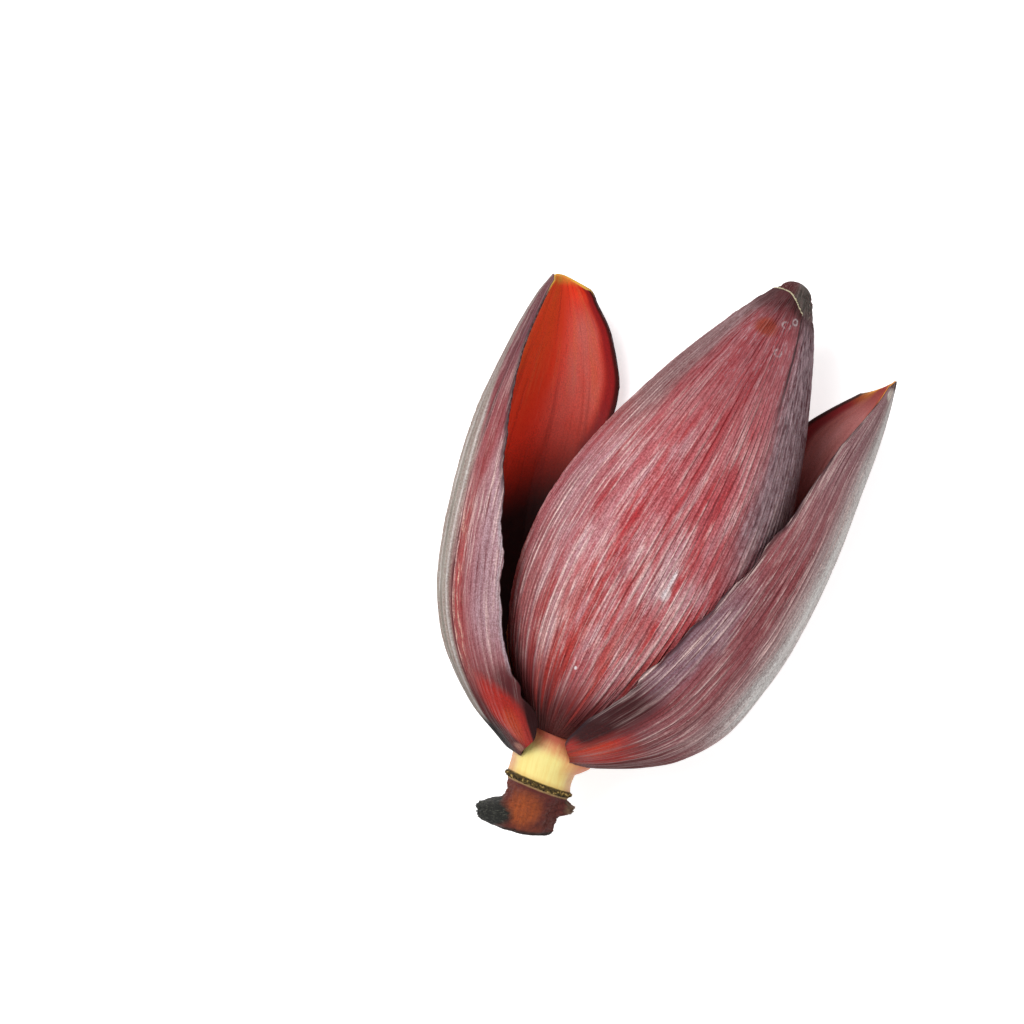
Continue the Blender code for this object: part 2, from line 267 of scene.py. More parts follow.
class Tree:
    """Adds nodes to one node tree."""

    def __init__(self, tree):
        self.tree = tree

    def node(self, kind, settings=None, inputs=None):
        """A node of a kind, with its settings made first and then its inputs set or linked."""
        made = self.tree.nodes.new(kind)
        for key, value in (settings or {}).items():
            setattr(made, key, value)
        for key, value in (inputs or {}).items():
            self.feed(made.inputs[key], value)
        return made

    def feed(self, socket, value):
        """Link or set one input socket."""
        if isinstance(value, Value):
            value = value.socket
        if isinstance(value, bpy.types.NodeSocket):
            self.tree.links.new(value, socket)
        else:
            socket.default_value = value

    def value(self, node, output=0):
        """A node's output as something to calculate with."""
        return Value(self, node.outputs[output])

    def mix(self, share, first, second):
        """Two colours mixed by a share."""
        settings = {"data_type": "RGBA", "clamp_factor": True}
        return self.node("ShaderNodeMix", settings, {0: share, 6: first, 7: second}).outputs[2]

    def layers(self, colour, *coats):
        """A colour with others laid over it in turn, each by its own mask."""
        for mask, over in coats:
            colour = self.mix(mask, colour, over)
        return colour

    def vector(self, x, y, z):
        """A vector from three values."""
        return self.node("ShaderNodeCombineXYZ", None, {0: x, 1: y, 2: z}).outputs[0]

    def scale(self, colour, amount):
        """A colour made brighter or darker."""
        made = self.node("ShaderNodeVectorMath", {"operation": "SCALE"}, {0: colour, "Scale": amount})
        return made.outputs[0]

    def noise(self, vector, scale, detail=2.0, roughness=0.5):
        """Smooth noise from 0 to 1."""
        made = self.node("ShaderNodeTexNoise", None, {"Vector": vector, "Scale": scale,
                                                      "Detail": detail, "Roughness": roughness})
        return self.value(made)

    def ring(self, turn, length, stretch, seed=0.0):
        """Coordinates on a cylinder of radius 1, so that a pattern has no seam."""
        return self.vector(turn.cos(), turn.sin(), length * stretch + seed)

    def ribs(self, turn, length, count, seed):
        """Crests, their shaded sides and their strength: one pattern for form and for colour."""
        slow = self.noise(self.ring(turn, length, 0.55, seed), 2.2, 1.0)
        uneven = self.noise(self.ring(turn, length, 0.12, seed + 2.0), 8.0, 1.0)
        phase = turn * count + slow * 5.0 + uneven * 9.0
        lively = self.noise(self.ring(turn, length, 1.2, seed + 5.0), 5.0, 2.0).smooth(0.36, 0.60)
        crest = (phase.cos() * 0.5 + 0.5) ** 3.0
        side = ((phase + 1.3).cos() * 0.5 + 0.5) ** 5.0
        return crest, side, lively


class Value:
    """A number socket that Python sums can be written with; each step adds its Math node."""

    def __init__(self, tree, socket):
        self.tree = tree
        self.socket = socket

    def math(self, operation, *terms, clamp=False):
        """One Math node on the given terms."""
        made = self.tree.node("ShaderNodeMath", {"operation": operation, "use_clamp": clamp},
                              dict(enumerate(terms)))
        return Value(self.tree, made.outputs[0])

    def __add__(self, other):
        return self.math("ADD", self, other)

    __radd__ = __add__

    def __sub__(self, other):
        return self.math("SUBTRACT", self, other)

    def __rsub__(self, other):
        return self.math("SUBTRACT", other, self)

    def __mul__(self, other):
        return self.math("MULTIPLY", self, other)

    __rmul__ = __mul__

    def __truediv__(self, other):
        return self.math("DIVIDE", self, other)

    def __rtruediv__(self, other):
        return self.math("DIVIDE", other, self)

    def __pow__(self, other):
        return self.math("POWER", self, other)

    def __rpow__(self, other):
        return self.math("POWER", other, self)

    def sin(self):
        return self.math("SINE", self)

    def cos(self):
        return self.math("COSINE", self)

    def absolute(self):
        return self.math("ABSOLUTE", self)

    def clamp(self):
        """The value kept between 0 and 1."""
        return self.math("ADD", self, 0.0, clamp=True)

    def smooth(self, low, high):
        """A smooth step from 0 at low to 1 at high, or the other way round where low > high."""
        made = self.tree.node("ShaderNodeMapRange", {"interpolation_type": "SMOOTHSTEP"},
                              {"Value": self, "From Min": low, "From Max": high})
        return Value(self.tree, made.outputs[0])


class Finish(Tree):
    """One procedural material on a Principled shader, reading the piece's own UV map."""

    def __init__(self, name, **constants):
        self.material = bpy.data.materials.new(name)
        self.material.use_nodes = True
        super().__init__(self.material.node_tree)
        self.shader = self.tree.nodes["Principled BSDF"]
        for key, value in constants.items():
            self.shader.inputs[key.replace("_", " ")].default_value = value
        split = self.node("ShaderNodeSeparateXYZ", None,
                          {0: self.node("ShaderNodeUVMap", {"uv_map": "UVMap"}).outputs[0]})
        self.bearing = self.value(split, 0) * 360.0
        self.turn = self.value(split, 0) * (2 * math.pi)
        self.along = self.value(split, 1)
        edge = self.node("ShaderNodeAttribute", {"attribute_name": "edge"})
        self.edge = self.value(edge, "Fac")

    def around(self, stretch, seed=0.0):
        """Coordinates on a cylinder for this piece."""
        return self.ring(self.turn, self.along, stretch, seed)

    def place(self):
        """The point's place in the piece, for patterns that don't follow a surface."""
        return self.node("ShaderNodeTexCoord").outputs["Object"]

    def grain(self, scale, seed, detail, roughness):
        """Fine even grain that runs from 0 to 1."""
        return self.noise(self.around(4.4, seed), scale, detail, roughness).smooth(0.26, 0.74)

    def spot(self, bearing, along, width, length, size=1.0):
        """A soft round spot: 1 in its middle, 0 from its edge on."""
        reach = ((self.bearing - bearing) / (width * size)) ** 2.0
        reach = reach + ((self.along - along) / (length * size)) ** 2.0
        return reach.smooth(1.0, 0.0)

    def finish(self, colour, roughness, height, distance, strength=1.0, coat=None):
        """Link what varies to the shader, and return the material."""
        self.feed(self.shader.inputs["Base Color"], colour)
        self.feed(self.shader.inputs["Roughness"], roughness)
        if coat is not None:
            self.feed(self.shader.inputs["Coat Weight"], coat)
        bump = self.node("ShaderNodeBump", None,
                         {"Height": height, "Distance": distance, "Strength": strength})
        self.feed(self.shader.inputs["Normal"], bump.outputs[0])
        return self.material


# ---------------------------------------------------------------------------------------------
# Form


def along(stations, column, share):
    """One column of a table of stations at any shares, joined by smooth cubic curves."""
    places = np.array([row[0] for row in stations], dtype=float)
    values = np.array([row[column] for row in stations], dtype=float)
    last = len(places) - 1
    before = np.maximum(np.arange(last + 1) - 1, 0)
    after = np.minimum(np.arange(last + 1) + 1, last)
    slopes = (values[after] - values[before]) / (places[after] - places[before])
    start = np.clip(np.searchsorted(places, share, side="right") - 1, 0, last - 1)
    span = places[start + 1] - places[start]
    t = (share - places[start]) / span
    rise = values[start + 1] - values[start]
    bend_in = slopes[start] * span - rise
    bend_out = rise - slopes[start + 1] * span
    return values[start] + t * rise + t * (1 - t) * ((1 - t) * bend_in + t * bend_out)


def bud_radius(share):
    """Outer radius of the bud at shares of its length, from the neck to the tip."""
    power = math.log(0.5) / math.log(FULLEST_AT)
    inside = np.clip(share, 0.0, 1.0)
    swell = BUD_RADIUS * np.maximum(np.sin(math.pi * inside ** power), 0.0) ** FULLNESS
    neck = NECK_RADIUS * (1 - inside) ** NECK_FADE
    return (swell ** 4 + neck ** 4) ** 0.25


def blunt_radius(share):
    """The bud's radius with its blunter upper end, rounded off at the very tip."""
    plain = bud_radius(share) + along(BLUNT, 1, share) * MM
    rise = (share - NOSE_START) / (BUD_END - NOSE_START)
    nose = NOSE_RADIUS * np.sqrt(np.clip(1 - rise ** 2, 0, 1))
    return np.where(share > NOSE_START, nose, plain)


def core_radius(share):
    """Radius of the closed bud: a layer deeper than the front bract, then its own tip."""
    probe = 0.005
    slope = (bud_radius(share + probe) - bud_radius(share - probe)) / (2 * probe * BUD_LENGTH)
    deep = bud_radius(share) - LAYER * np.hypot(1, np.minimum(np.abs(slope), 1.2))
    shallow = blunt_radius(share) - 1.1 * MM * np.clip((1 - share) / 0.03, 0.2, 1)
    blend = np.clip((share - 0.80) / 0.13, 0, 1)
    return deep + (shallow - deep) * blend * blend * (3 - 2 * blend)


def bud_lean(share):
    """How far the bud's upper end leans towards +X."""
    return along(BLUNT, 2, share) * MM


def spread(index, count):
    """Shares from 0 to 1 that lie closer together near both ends."""
    t = index / count
    return 0.45 * t + 0.55 * (0.5 - 0.5 * np.cos(math.pi * t))


def wander(place, seed):
    """Smooth irregular waves from about -1 to 1, the same for the same seed."""
    random = np.random.default_rng(seed)
    waves = [np.sin(place * random.uniform(0.6, 3.4) * 2 + random.uniform(0, 6.28)) for _ in range(5)]
    return sum(waves) / 3


def hump(values, place, width, power=2):
    """A smooth hump of height 1 around a place."""
    return np.exp(-np.abs((values - place) / width) ** power)


def body(share):
    """0 at both ends of a length and 1 in its middle."""
    return np.sin(math.pi * np.clip(share, 0, 1)) ** 0.5


def turned(angle, middle):
    """Bearings counted from a middle one, from -180 to 180."""
    return (angle - middle + 180) % 360 - 180


def point_rows(angle, share, edge):
    """Each point's bearing as a share of a turn, its share of the length and its nearness to an edge."""
    return np.stack(np.broadcast_arrays(angle / 360, share, edge), axis=-1)


def about_axis(angle, share, reach):
    """Points at a bearing, a share of the length and a reach from the bud's axis."""
    bearing = np.radians(angle)
    return np.stack([BASE.x + bud_lean(share) + reach * np.cos(bearing),
                     BASE.y + share * BUD_LENGTH + 0 * angle,
                     BASE.z + reach * np.sin(bearing)], axis=-1)


def tree_socket(tree, name, kind, direction, value=None):
    """Declare one named input or output of a geometry tree."""
    socket = tree.interface.new_socket(name, in_out=direction, socket_type=kind)
    if value is not None:
        socket.default_value = value
    return socket


def geometry_tree(name, sockets):
    """A geometry tree with its named inputs, and its group nodes."""
    group = bpy.data.node_groups.new(name, "GeometryNodeTree")
    tree_socket(group, "Geometry", "NodeSocketGeometry", "INPUT")
    tree_socket(group, "Geometry", "NodeSocketGeometry", "OUTPUT")
    for label, kind, value in sockets:
        tree_socket(group, label, kind, "INPUT", value)
    tree = Tree(group)
    return tree, tree.node("NodeGroupInput"), tree.node("NodeGroupOutput")


def end_tree(tree, geometry, start, end):
    """Realize what was made and give it the tree's material."""
    real = tree.node("GeometryNodeRealizeInstances", None, {0: geometry})
    done = tree.node("GeometryNodeSetMaterial", None,
                     {"Geometry": real.outputs[0], "Material": start.outputs["Material"]})
    tree.feed(end.inputs[0], done.outputs[0])
    return tree.tree


def rib_tree():
    """Geometry tree that raises lengthwise ribs and slow hollows on a sheet."""
    tree, start, end = geometry_tree("Ribs", (
        ("Ribs", "NodeSocketFloat", 100.0),
        ("Height", "NodeSocketFloat", 0.2 * MM),
        ("Swell", "NodeSocketFloat", 0.5 * MM),
        ("Seed", "NodeSocketFloat", 0.0),
        ("Material", "NodeSocketMaterial", None),
    ))
    count, height, swell, seed = (tree.value(start, label)
                                  for label in ("Ribs", "Height", "Swell", "Seed"))
    place = tree.node("GeometryNodeInputNamedAttribute", {"data_type": "FLOAT_VECTOR"},
                      {"Name": "share"}).outputs[0]
    split = tree.node("ShaderNodeSeparateXYZ", None, {0: place})
    turn = tree.value(split, 0) * (2 * math.pi)
    length = tree.value(split, 1)
    crest, side, lively = tree.ribs(turn, length, count, seed)
    margin = 0.15 + 0.85 * tree.value(split, 2).smooth(0.0, 0.07)
    fade = (length * (1.0 - length) * 5.0).clamp() ** 0.5 * margin
    hollow = tree.noise(tree.ring(turn, length, 0.9, seed + 7.0), 1.5, 2.0) - 0.5
    pitted = tree.noise(tree.ring(turn, length, 2.4, seed + 9.0), 14.0, 2.0) - 0.5
    lift = (crest - side * 0.55 - 0.15) * height * (lively + 0.25) * fade
    lift = lift + (hollow * 1.5 + pitted * 0.28) * swell * fade
    normal = tree.node("GeometryNodeInputNormal").outputs[0]
    moved = tree.node("GeometryNodeSetPosition", None,
                      {"Geometry": start.outputs[0], "Offset": tree.scale(normal, lift)})
    return end_tree(tree, moved.outputs[0], start, end)


def flower_tree():
    """Geometry tree that gives each stem curve of a hand a flower's swelling body."""
    tree, start, end = geometry_tree("Flowers", (
        ("Radius", "NodeSocketFloat", 2.4 * MM),
        ("Sides", "NodeSocketInt", 14),
        ("Points", "NodeSocketInt", 26),
        ("Material", "NodeSocketMaterial", None),
    ))
    radius = tree.value(start, "Radius")
    path = tree.node("GeometryNodeResampleCurve", None,
                     {"Curve": start.outputs[0], "Count": start.outputs["Points"]})
    share = tree.value(tree.node("GeometryNodeSplineParameter"), 0)
    swell = 0.62 + 0.38 * share.smooth(0.0, 0.7)
    frill = 0.16 * (share * 60.0).sin() * share.smooth(0.8, 0.95)
    flare = swell * (1.0 - 0.75 * share.smooth(0.9, 1.02)) + frill
    sized = tree.node("GeometryNodeSetCurveRadius", None,
                      {"Curve": path.outputs[0], "Radius": flare * radius})
    ring = tree.node("GeometryNodeCurvePrimitiveCircle", {"mode": "RADIUS"},
                     {"Resolution": start.outputs["Sides"], "Radius": 1.0})
    flower = tree.node("GeometryNodeCurveToMesh", None,
                       {"Curve": sized.outputs[0], "Profile Curve": ring.outputs[0],
                        "Fill Caps": True})
    if "Scale" in flower.inputs:
        radii = tree.node("GeometryNodeInputRadius")
        tree.feed(flower.inputs["Scale"], radii.outputs[0])
    soft = tree.node("GeometryNodeSetShadeSmooth", None, {0: flower.outputs[0]})
    return end_tree(tree, soft.outputs[0], start, end)


def crust_tree():
    """Geometry tree that scatters corky crumbs over the picked points of the stalk's ring."""
    tree, start, end = geometry_tree("Crust", (
        ("Crumb", "NodeSocketFloat", 0.62 * MM),
        ("Density", "NodeSocketFloat", 2400000.0),
        ("Seed", "NodeSocketInt", 5),
        ("Material", "NodeSocketMaterial", None),
    ))
    points = tree.node("GeometryNodeDistributePointsOnFaces", None,
                       {"Mesh": start.outputs[0], "Density": start.outputs["Density"],
                        "Seed": start.outputs["Seed"]})
    crumb = tree.node("GeometryNodeMeshIcoSphere", None, {"Radius": 1.0, "Subdivisions": 1})
    size = tree.node("FunctionNodeRandomValue", {"data_type": "FLOAT_VECTOR"},
                     {"Min": (0.4, 0.4, 0.3), "Max": (1.4, 1.1, 0.8),
                      "Seed": start.outputs["Seed"]})
    scaled = tree.node("ShaderNodeVectorMath", {"operation": "SCALE"},
                       {0: size.outputs[0], "Scale": start.outputs["Crumb"]})
    spun = tree.node("FunctionNodeRandomValue", {"data_type": "FLOAT_VECTOR"},
                     {"Min": (0.0, 0.0, 0.0), "Max": (6.28, 6.28, 6.28),
                      "Seed": start.outputs["Seed"]})
    placed = tree.node("GeometryNodeInstanceOnPoints", None,
                       {"Points": points.outputs[0], "Instance": crumb.outputs[0],
                        "Rotation": spun.outputs[0], "Scale": scaled.outputs[0]})
    return end_tree(tree, placed.outputs[0], start, end)


def through_tree(name, data, tree, values):
    """Run a mesh or a curve through a geometry tree and keep the result as a plain mesh."""
    group = bpy.data.node_groups[tree]
    source = bpy.data.objects.new(name, data)
    bpy.context.collection.objects.link(source)
    modifier = source.modifiers.new(tree, "NODES")
    modifier.node_group = group
    for item in group.interface.items_tree:
        if item.in_out == "INPUT" and item.name in values:
            modifier[item.identifier] = values[item.name]
    graph = bpy.context.evaluated_depsgraph_get()
    mesh = bpy.data.meshes.new_from_object(source.evaluated_get(graph))
    bpy.data.objects.remove(source, do_unlink=True)
    return mesh


def grid_faces(rows, columns, closed=False, flip=False):
    """Faces of a grid of points; a closed grid joins its last column to its first."""
    width = columns if closed else columns + 1
    row, column = np.meshgrid(np.arange(rows), np.arange(columns), indexing="ij")
    after = (column + 1) % width
    corners = [row * width + column, row * width + after,
               (row + 1) * width + after, (row + 1) * width + column]
    if flip:
        corners.reverse()
    return np.stack(corners, axis=-1).reshape(-1, 4)


def plain_mesh(name, points, faces):
    """A mesh from arrays of points and faces."""
    mesh = bpy.data.meshes.new(name)
    mesh.from_pydata(points.tolist(), [], [[int(corner) for corner in face] for face in faces])
    mesh.update()
    return mesh


def read_points(items, key):
    """A mesh's points, or its point normals, as an array."""
    found = np.empty(len(items) * 3, dtype=np.float32)
    items.foreach_get(key, found)
    return found.reshape(-1, 3).astype(float)


def paint(mesh, shares, closed=False):
    """Write each point's bearing and length to the UV map, and its nearness to the edge."""
    corners = np.empty(len(mesh.loops), dtype=np.int32)
    mesh.loops.foreach_get("vertex_index", corners)
    places = shares[corners, :2]
    if closed:
        starts = np.empty(len(mesh.polygons), dtype=np.int32)
        totals = np.empty(len(mesh.polygons), dtype=np.int32)
        mesh.polygons.foreach_get("loop_start", starts)
        mesh.polygons.foreach_get("loop_total", totals)
        face = np.repeat(np.arange(len(starts)), totals)
        highest = np.maximum.reduceat(places[:, 0], starts)[face]
        wraps = (highest - places[:, 0] > 0.5) & (totals[face] <= 4)
        places[wraps, 0] += 1.0
    layer = mesh.uv_layers.new(name="UVMap")
    layer.data.foreach_set("uv", places.astype(np.float32).ravel())
    edge = mesh.attributes.new("edge", "FLOAT", "POINT")
    edge.data.foreach_set("value", shares[:, 2].astype(np.float32))


def ribbed(name, points, shares, faces, seed, ribs, sizes):
    """Pass a sheet through the rib tree; its points, and the plain sheet's normals."""
    sheet = plain_mesh(name, points, faces)
    normals = read_points(sheet.vertex_normals, "vector")
    stored = sheet.attributes.new("share", "FLOAT_VECTOR", "POINT")
    stored.data.foreach_set("vector", shares.astype(np.float32).ravel())
    values = {"Ribs": float(ribs), "Height": sizes.rib_height, "Swell": sizes.swell,
              "Seed": float(seed)}
    result = through_tree(name, sheet, "Ribs", values)
    found = read_points(result.vertices, "co")
    bpy.data.meshes.remove(result)
    return found, normals


def add_piece(name, mesh, materials, nodes):
    """Link a finished mesh as a piece on the root body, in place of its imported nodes."""
    mesh.name = name
    mesh.materials.clear()
    for material in materials:
        mesh.materials.append(material)
    mesh.shade_smooth()
    piece = bpy.data.objects.new(name, mesh)
    bpy.context.collection.objects.link(piece)
    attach(piece, "root")
    if nodes:
        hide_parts(*nodes)
    return piece


def shell(name, rows, columns, points, shares, wall, seed, ribs, sizes):
    """A bract: ribbed outer face, plain inner face a wall's thickness behind it, closed rims."""
    outer, normals = ribbed(name, points, shares, grid_faces(rows, columns), seed, ribs, sizes)
    outer[:, 2] = np.maximum(outer[:, 2], 0.0)
    inner = points - normals * wall[:, None]
    count = len(outer)
    face_out = grid_faces(rows, columns)
    face_in = grid_faces(rows, columns, flip=True) + count
    base = np.arange(columns + 1)
    tip = base + rows * (columns + 1)
    near = np.arange(rows + 1) * (columns + 1)
    far = near + columns
    rims = []
    for line, backward in ((base, False), (tip, True), (near, True), (far, False)):
        a, b = line[:-1], line[1:]
        quad = [a, a + count, b + count, b]
        if backward:
            quad.reverse()
        rims.append(np.stack(quad, axis=-1))
    faces = np.concatenate([face_out, face_in, *rims])
    mesh = plain_mesh(name, np.concatenate([outer, inner]), faces)
    paint(mesh, np.concatenate([shares, shares]))
    kinds = np.concatenate([np.zeros(len(face_out)), np.ones(len(face_in)),
                            np.full(sum(len(rim) for rim in rims), 2)]).astype(np.int32)
    return mesh, kinds


def opened_sheet(rows, columns, chord, stations, ends, margins, relief):
    """Outer face of an opened bract: its points, and each point's bearing, length and edge."""
    root, heading, length = chord
    turn = math.radians(heading)
    forward = np.array((math.sin(turn), math.cos(turn), 0))
    sideways = np.array((math.cos(turn), -math.sin(turn), 0))
    up = np.array((0, 0, 1))
    across = np.linspace(0, 1, columns + 1)[None, :]
    start, stop = (along(table, 1, across) for table in ends)
    share = start + (stop - start) * spread(np.arange(rows + 1), rows)[:, None]
    radius, shift, lift, upper, lower = (along(stations, i, share) for i in range(1, 6))
    more_upper, more_lower = margins(share)
    angle = (upper + more_upper) * (1 - across) + (lower + more_lower) * across
    reach = radius * MM + relief(share, angle)
    bearing = np.radians(angle)
    points = (np.array(BASE + root) + forward * (length * share)[..., None]
              + sideways * (shift * MM + np.cos(bearing) * reach)[..., None]
              + up * (lift * MM + np.sin(bearing) * reach)[..., None])
    points[..., 2] = np.maximum(points[..., 2], 0.0)
    return points, point_rows(angle, share, across)


def left_margins(share):
    """The left bract's upper margin is worn and wavy, and its heel wraps over the neck."""
    wave = 0.9 * wander(share * 9, 13) + 0.45 * wander(share * 40, 41)
    wave = wave + 0.08 * wander(share * 110, 17)
    heel = -8.5 * hump(share, 0.07, 0.05, 4) - 3.0 * hump(share, 0.155, 0.016)
    lower = body(share) * 1.5 * wander(share * 9, 8) + 9 * hump(share, 0.972, 0.02)
    return body(share) * wave + heel, lower


def left_relief(share, angle):
    """A lengthwise crease beside the left silhouette, and a second finer one."""
    crease = hump(angle, 147 + 2 * wander(share * 4, 2), 2.6)
    ridge = hump(angle, 156, 6.0)
    second = hump(angle, 163 + 2 * wander(share * 5, 6), 2.0)
    fold = hump(angle, 132 + 3 * wander(share * 3, 9), 7.0) * hump(share, 0.2, 0.2)
    heel = hump(share, 0.06, 0.05) * hump(angle, 118, 14)
    return MM * (body(share) * (0.6 * ridge - 1.2 * crease - 0.5 * second - 0.5 * fold) + heel)


def right_margins(share):
    """The right bract's upper margin has small waves, and its heel wraps over the neck."""
    wave = 1.2 * wander(share * 13, 52) + 0.5 * wander(share * 44, 29)
    dent = 1.6 * hump(share, 0.285, 0.012) - 0.8 * hump(share, 0.25, 0.02)
    heel = 11.5 * hump(share, 0.065, 0.068, 3)
    return body(share) * wave - dent + heel, body(share) * 1.5 * wander(share * 9, 33)


def right_relief(share, angle):
    """Long soft folds that fan out of the right bract's heel."""
    fan = hump(share, 0.20, 0.20) * hump(angle, 30, 45, 4)
    folds = np.cos(np.radians(angle * 38 + 60 * wander(share * 3, 15))) * 0.5
    folds = folds + np.cos(np.radians(angle * 23 + 90 * wander(share * 2.2, 19))) * 0.5
    return MM * fan * 0.85 * folds


def front_sheet(rows, columns):
    """Outer face of the front bract, with the hood's arched rim and the step along its right side."""
    across = np.linspace(0, 1, columns + 1)[None, :]
    plain = spread(np.arange(rows + 1), rows)[:, None]
    wrap = along(FRONT_WRAP, 1, plain) + 1.5 * wander(plain * 10, 7) * body(plain)
    angle = 90 + wrap - 2 * wrap * across
    start = along(FOOT, 1, angle)
    share = start + plain * (along(HOOD, 1, angle) - start)
    hood = np.clip((share - 0.80) / 0.16, 0, 1)
    step = 1.0 / (1.0 + np.exp((angle - STEP_BEARING) / 0.8)) * np.clip((share - 0.60) / 0.2, 0, 1)
    pucker = (0.35 * wander(angle * 0.11 + share * 22, 4) + 0.3 * wander(share * 70 + angle * 0.05, 5)
              + 0.25 * wander(angle * 0.35 - share * 30, 6))
    fold = 0.8 * hump(share + 0.0006 * (angle - 90), 0.835, 0.012) * hump(angle, 118, 26)
    reach = blunt_radius(np.minimum(share, 0.978)) + MM * (pucker * hood - 0.85 * step - fold)
    nearness = (along(HOOD, 1, angle) - share) * RIM_SCALE
    return about_axis(angle, share, reach), point_rows(angle, share, nearness)


def closed_mesh(name, rows, columns, points, shares):
    """A closed body from a grid whose last column joins its first, with a face over each end."""
    faces = grid_faces(rows, columns, closed=True).tolist()
    faces.append(range(columns - 1, -1, -1))
    faces.append(range(rows * columns, (rows + 1) * columns))
    mesh = plain_mesh(name, points, faces)
    paint(mesh, shares, closed=True)
    return mesh


# ---------------------------------------------------------------------------------------------
# Finishes


def bract_finish(name, colours, seed, count, zones):
    """Outer face of a bract: rose skin with red patches, pale worn ribs and waxy bloom.

    The ribs are the ones that the geometry tree raised. zones says where the skin changes, with
    the noises that are kept on make: it returns pairs of mask and colour, a mask of where the
    lines fade, one of where the skin shines, and how strongly bloom and worn lines show.
    """
    make = Finish(name, Specular_IOR_Level=0.1, Coat_Roughness=0.25, Coat_IOR=1.35)
    crest, side, lively = make.ribs(make.turn, make.along, count, seed)
    streak = make.noise(make.around(0.2, seed + 10), 10.0, 3.0, 0.6)
    fine = make.noise(make.around(0.16, seed + 11), 25.0, 2.0, 0.5)
    hair = make.noise(make.around(0.14, seed + 12), 62.0, 2.0, 0.6)
    cloud = make.noise(make.around(1.6, seed + 13), 3.2, 4.0, 0.62)
    patch = make.noise(make.around(0.75, seed + 14), 8.0, 4.0, 0.66)
    grain = make.grain(58.0, seed + 15, 3.0, 0.75)
    make.streak, make.cloud, make.patch = streak, cloud, patch

    red = streak.smooth(0.58, 0.38) * (0.2 + patch.smooth(0.62, 0.34) * 0.8)
    coats, quiet, shine, worn = zones(make, colours)
    haze = cloud.smooth(0.44, 0.64) * 0.5 + patch.smooth(0.46, 0.66) * 0.55 + (grain - 0.5) * 0.5
    haze = ((haze - red * 0.3) * worn).clamp()
    skin = make.layers(colours.rose, (red, colours.crimson), (haze * 0.75, colours.bloom),
                       *((mask * (0.76 + 0.46 * grain), colour) for mask, colour in coats))

    keep = 1.0 - quiet
    line = (fine - 0.5).absolute().smooth(0.045, 0.005)
    shade = (fine - 0.57).absolute().smooth(0.035, 0.005)
    thin = (hair - 0.5).absolute().smooth(0.06, 0.01)
    deep = (hair - 0.58).absolute().smooth(0.035, 0.005)
    rubbed = patch.smooth(0.42, 0.60) * 0.7 + cloud.smooth(0.42, 0.62) * 0.4
    rubbed = rubbed * (0.22 + worn * 0.78)
    dark = (side * (0.05 + 0.35 * lively) + shade * 0.4 + deep * 0.5) * keep
    pale = (crest * crest * crest * lively * 0.9 + line * 0.55 + thin * 0.22) * rubbed
    pale = (pale * keep).clamp()
    skin = make.layers(skin, (dark * 0.7, colours.groove), (pale * 0.85, colours.pale))
    skin = make.scale(skin, 0.91 + (grain - 0.5) * (0.70 - quiet * 0.35))

    height = crest * 0.5 - side * 0.5 + line * 0.35 - shade * 0.5 + (hair * 0.5 + grain * 0.3)
    roughness = (0.46 + haze * 0.2 + grain * 0.15 - shine * 0.2).clamp()
    return make.finish(skin, roughness, height * (1.0 - quiet * 0.7), SKIN_DEPTH, SKIN_BUMP, shine * 0.14)


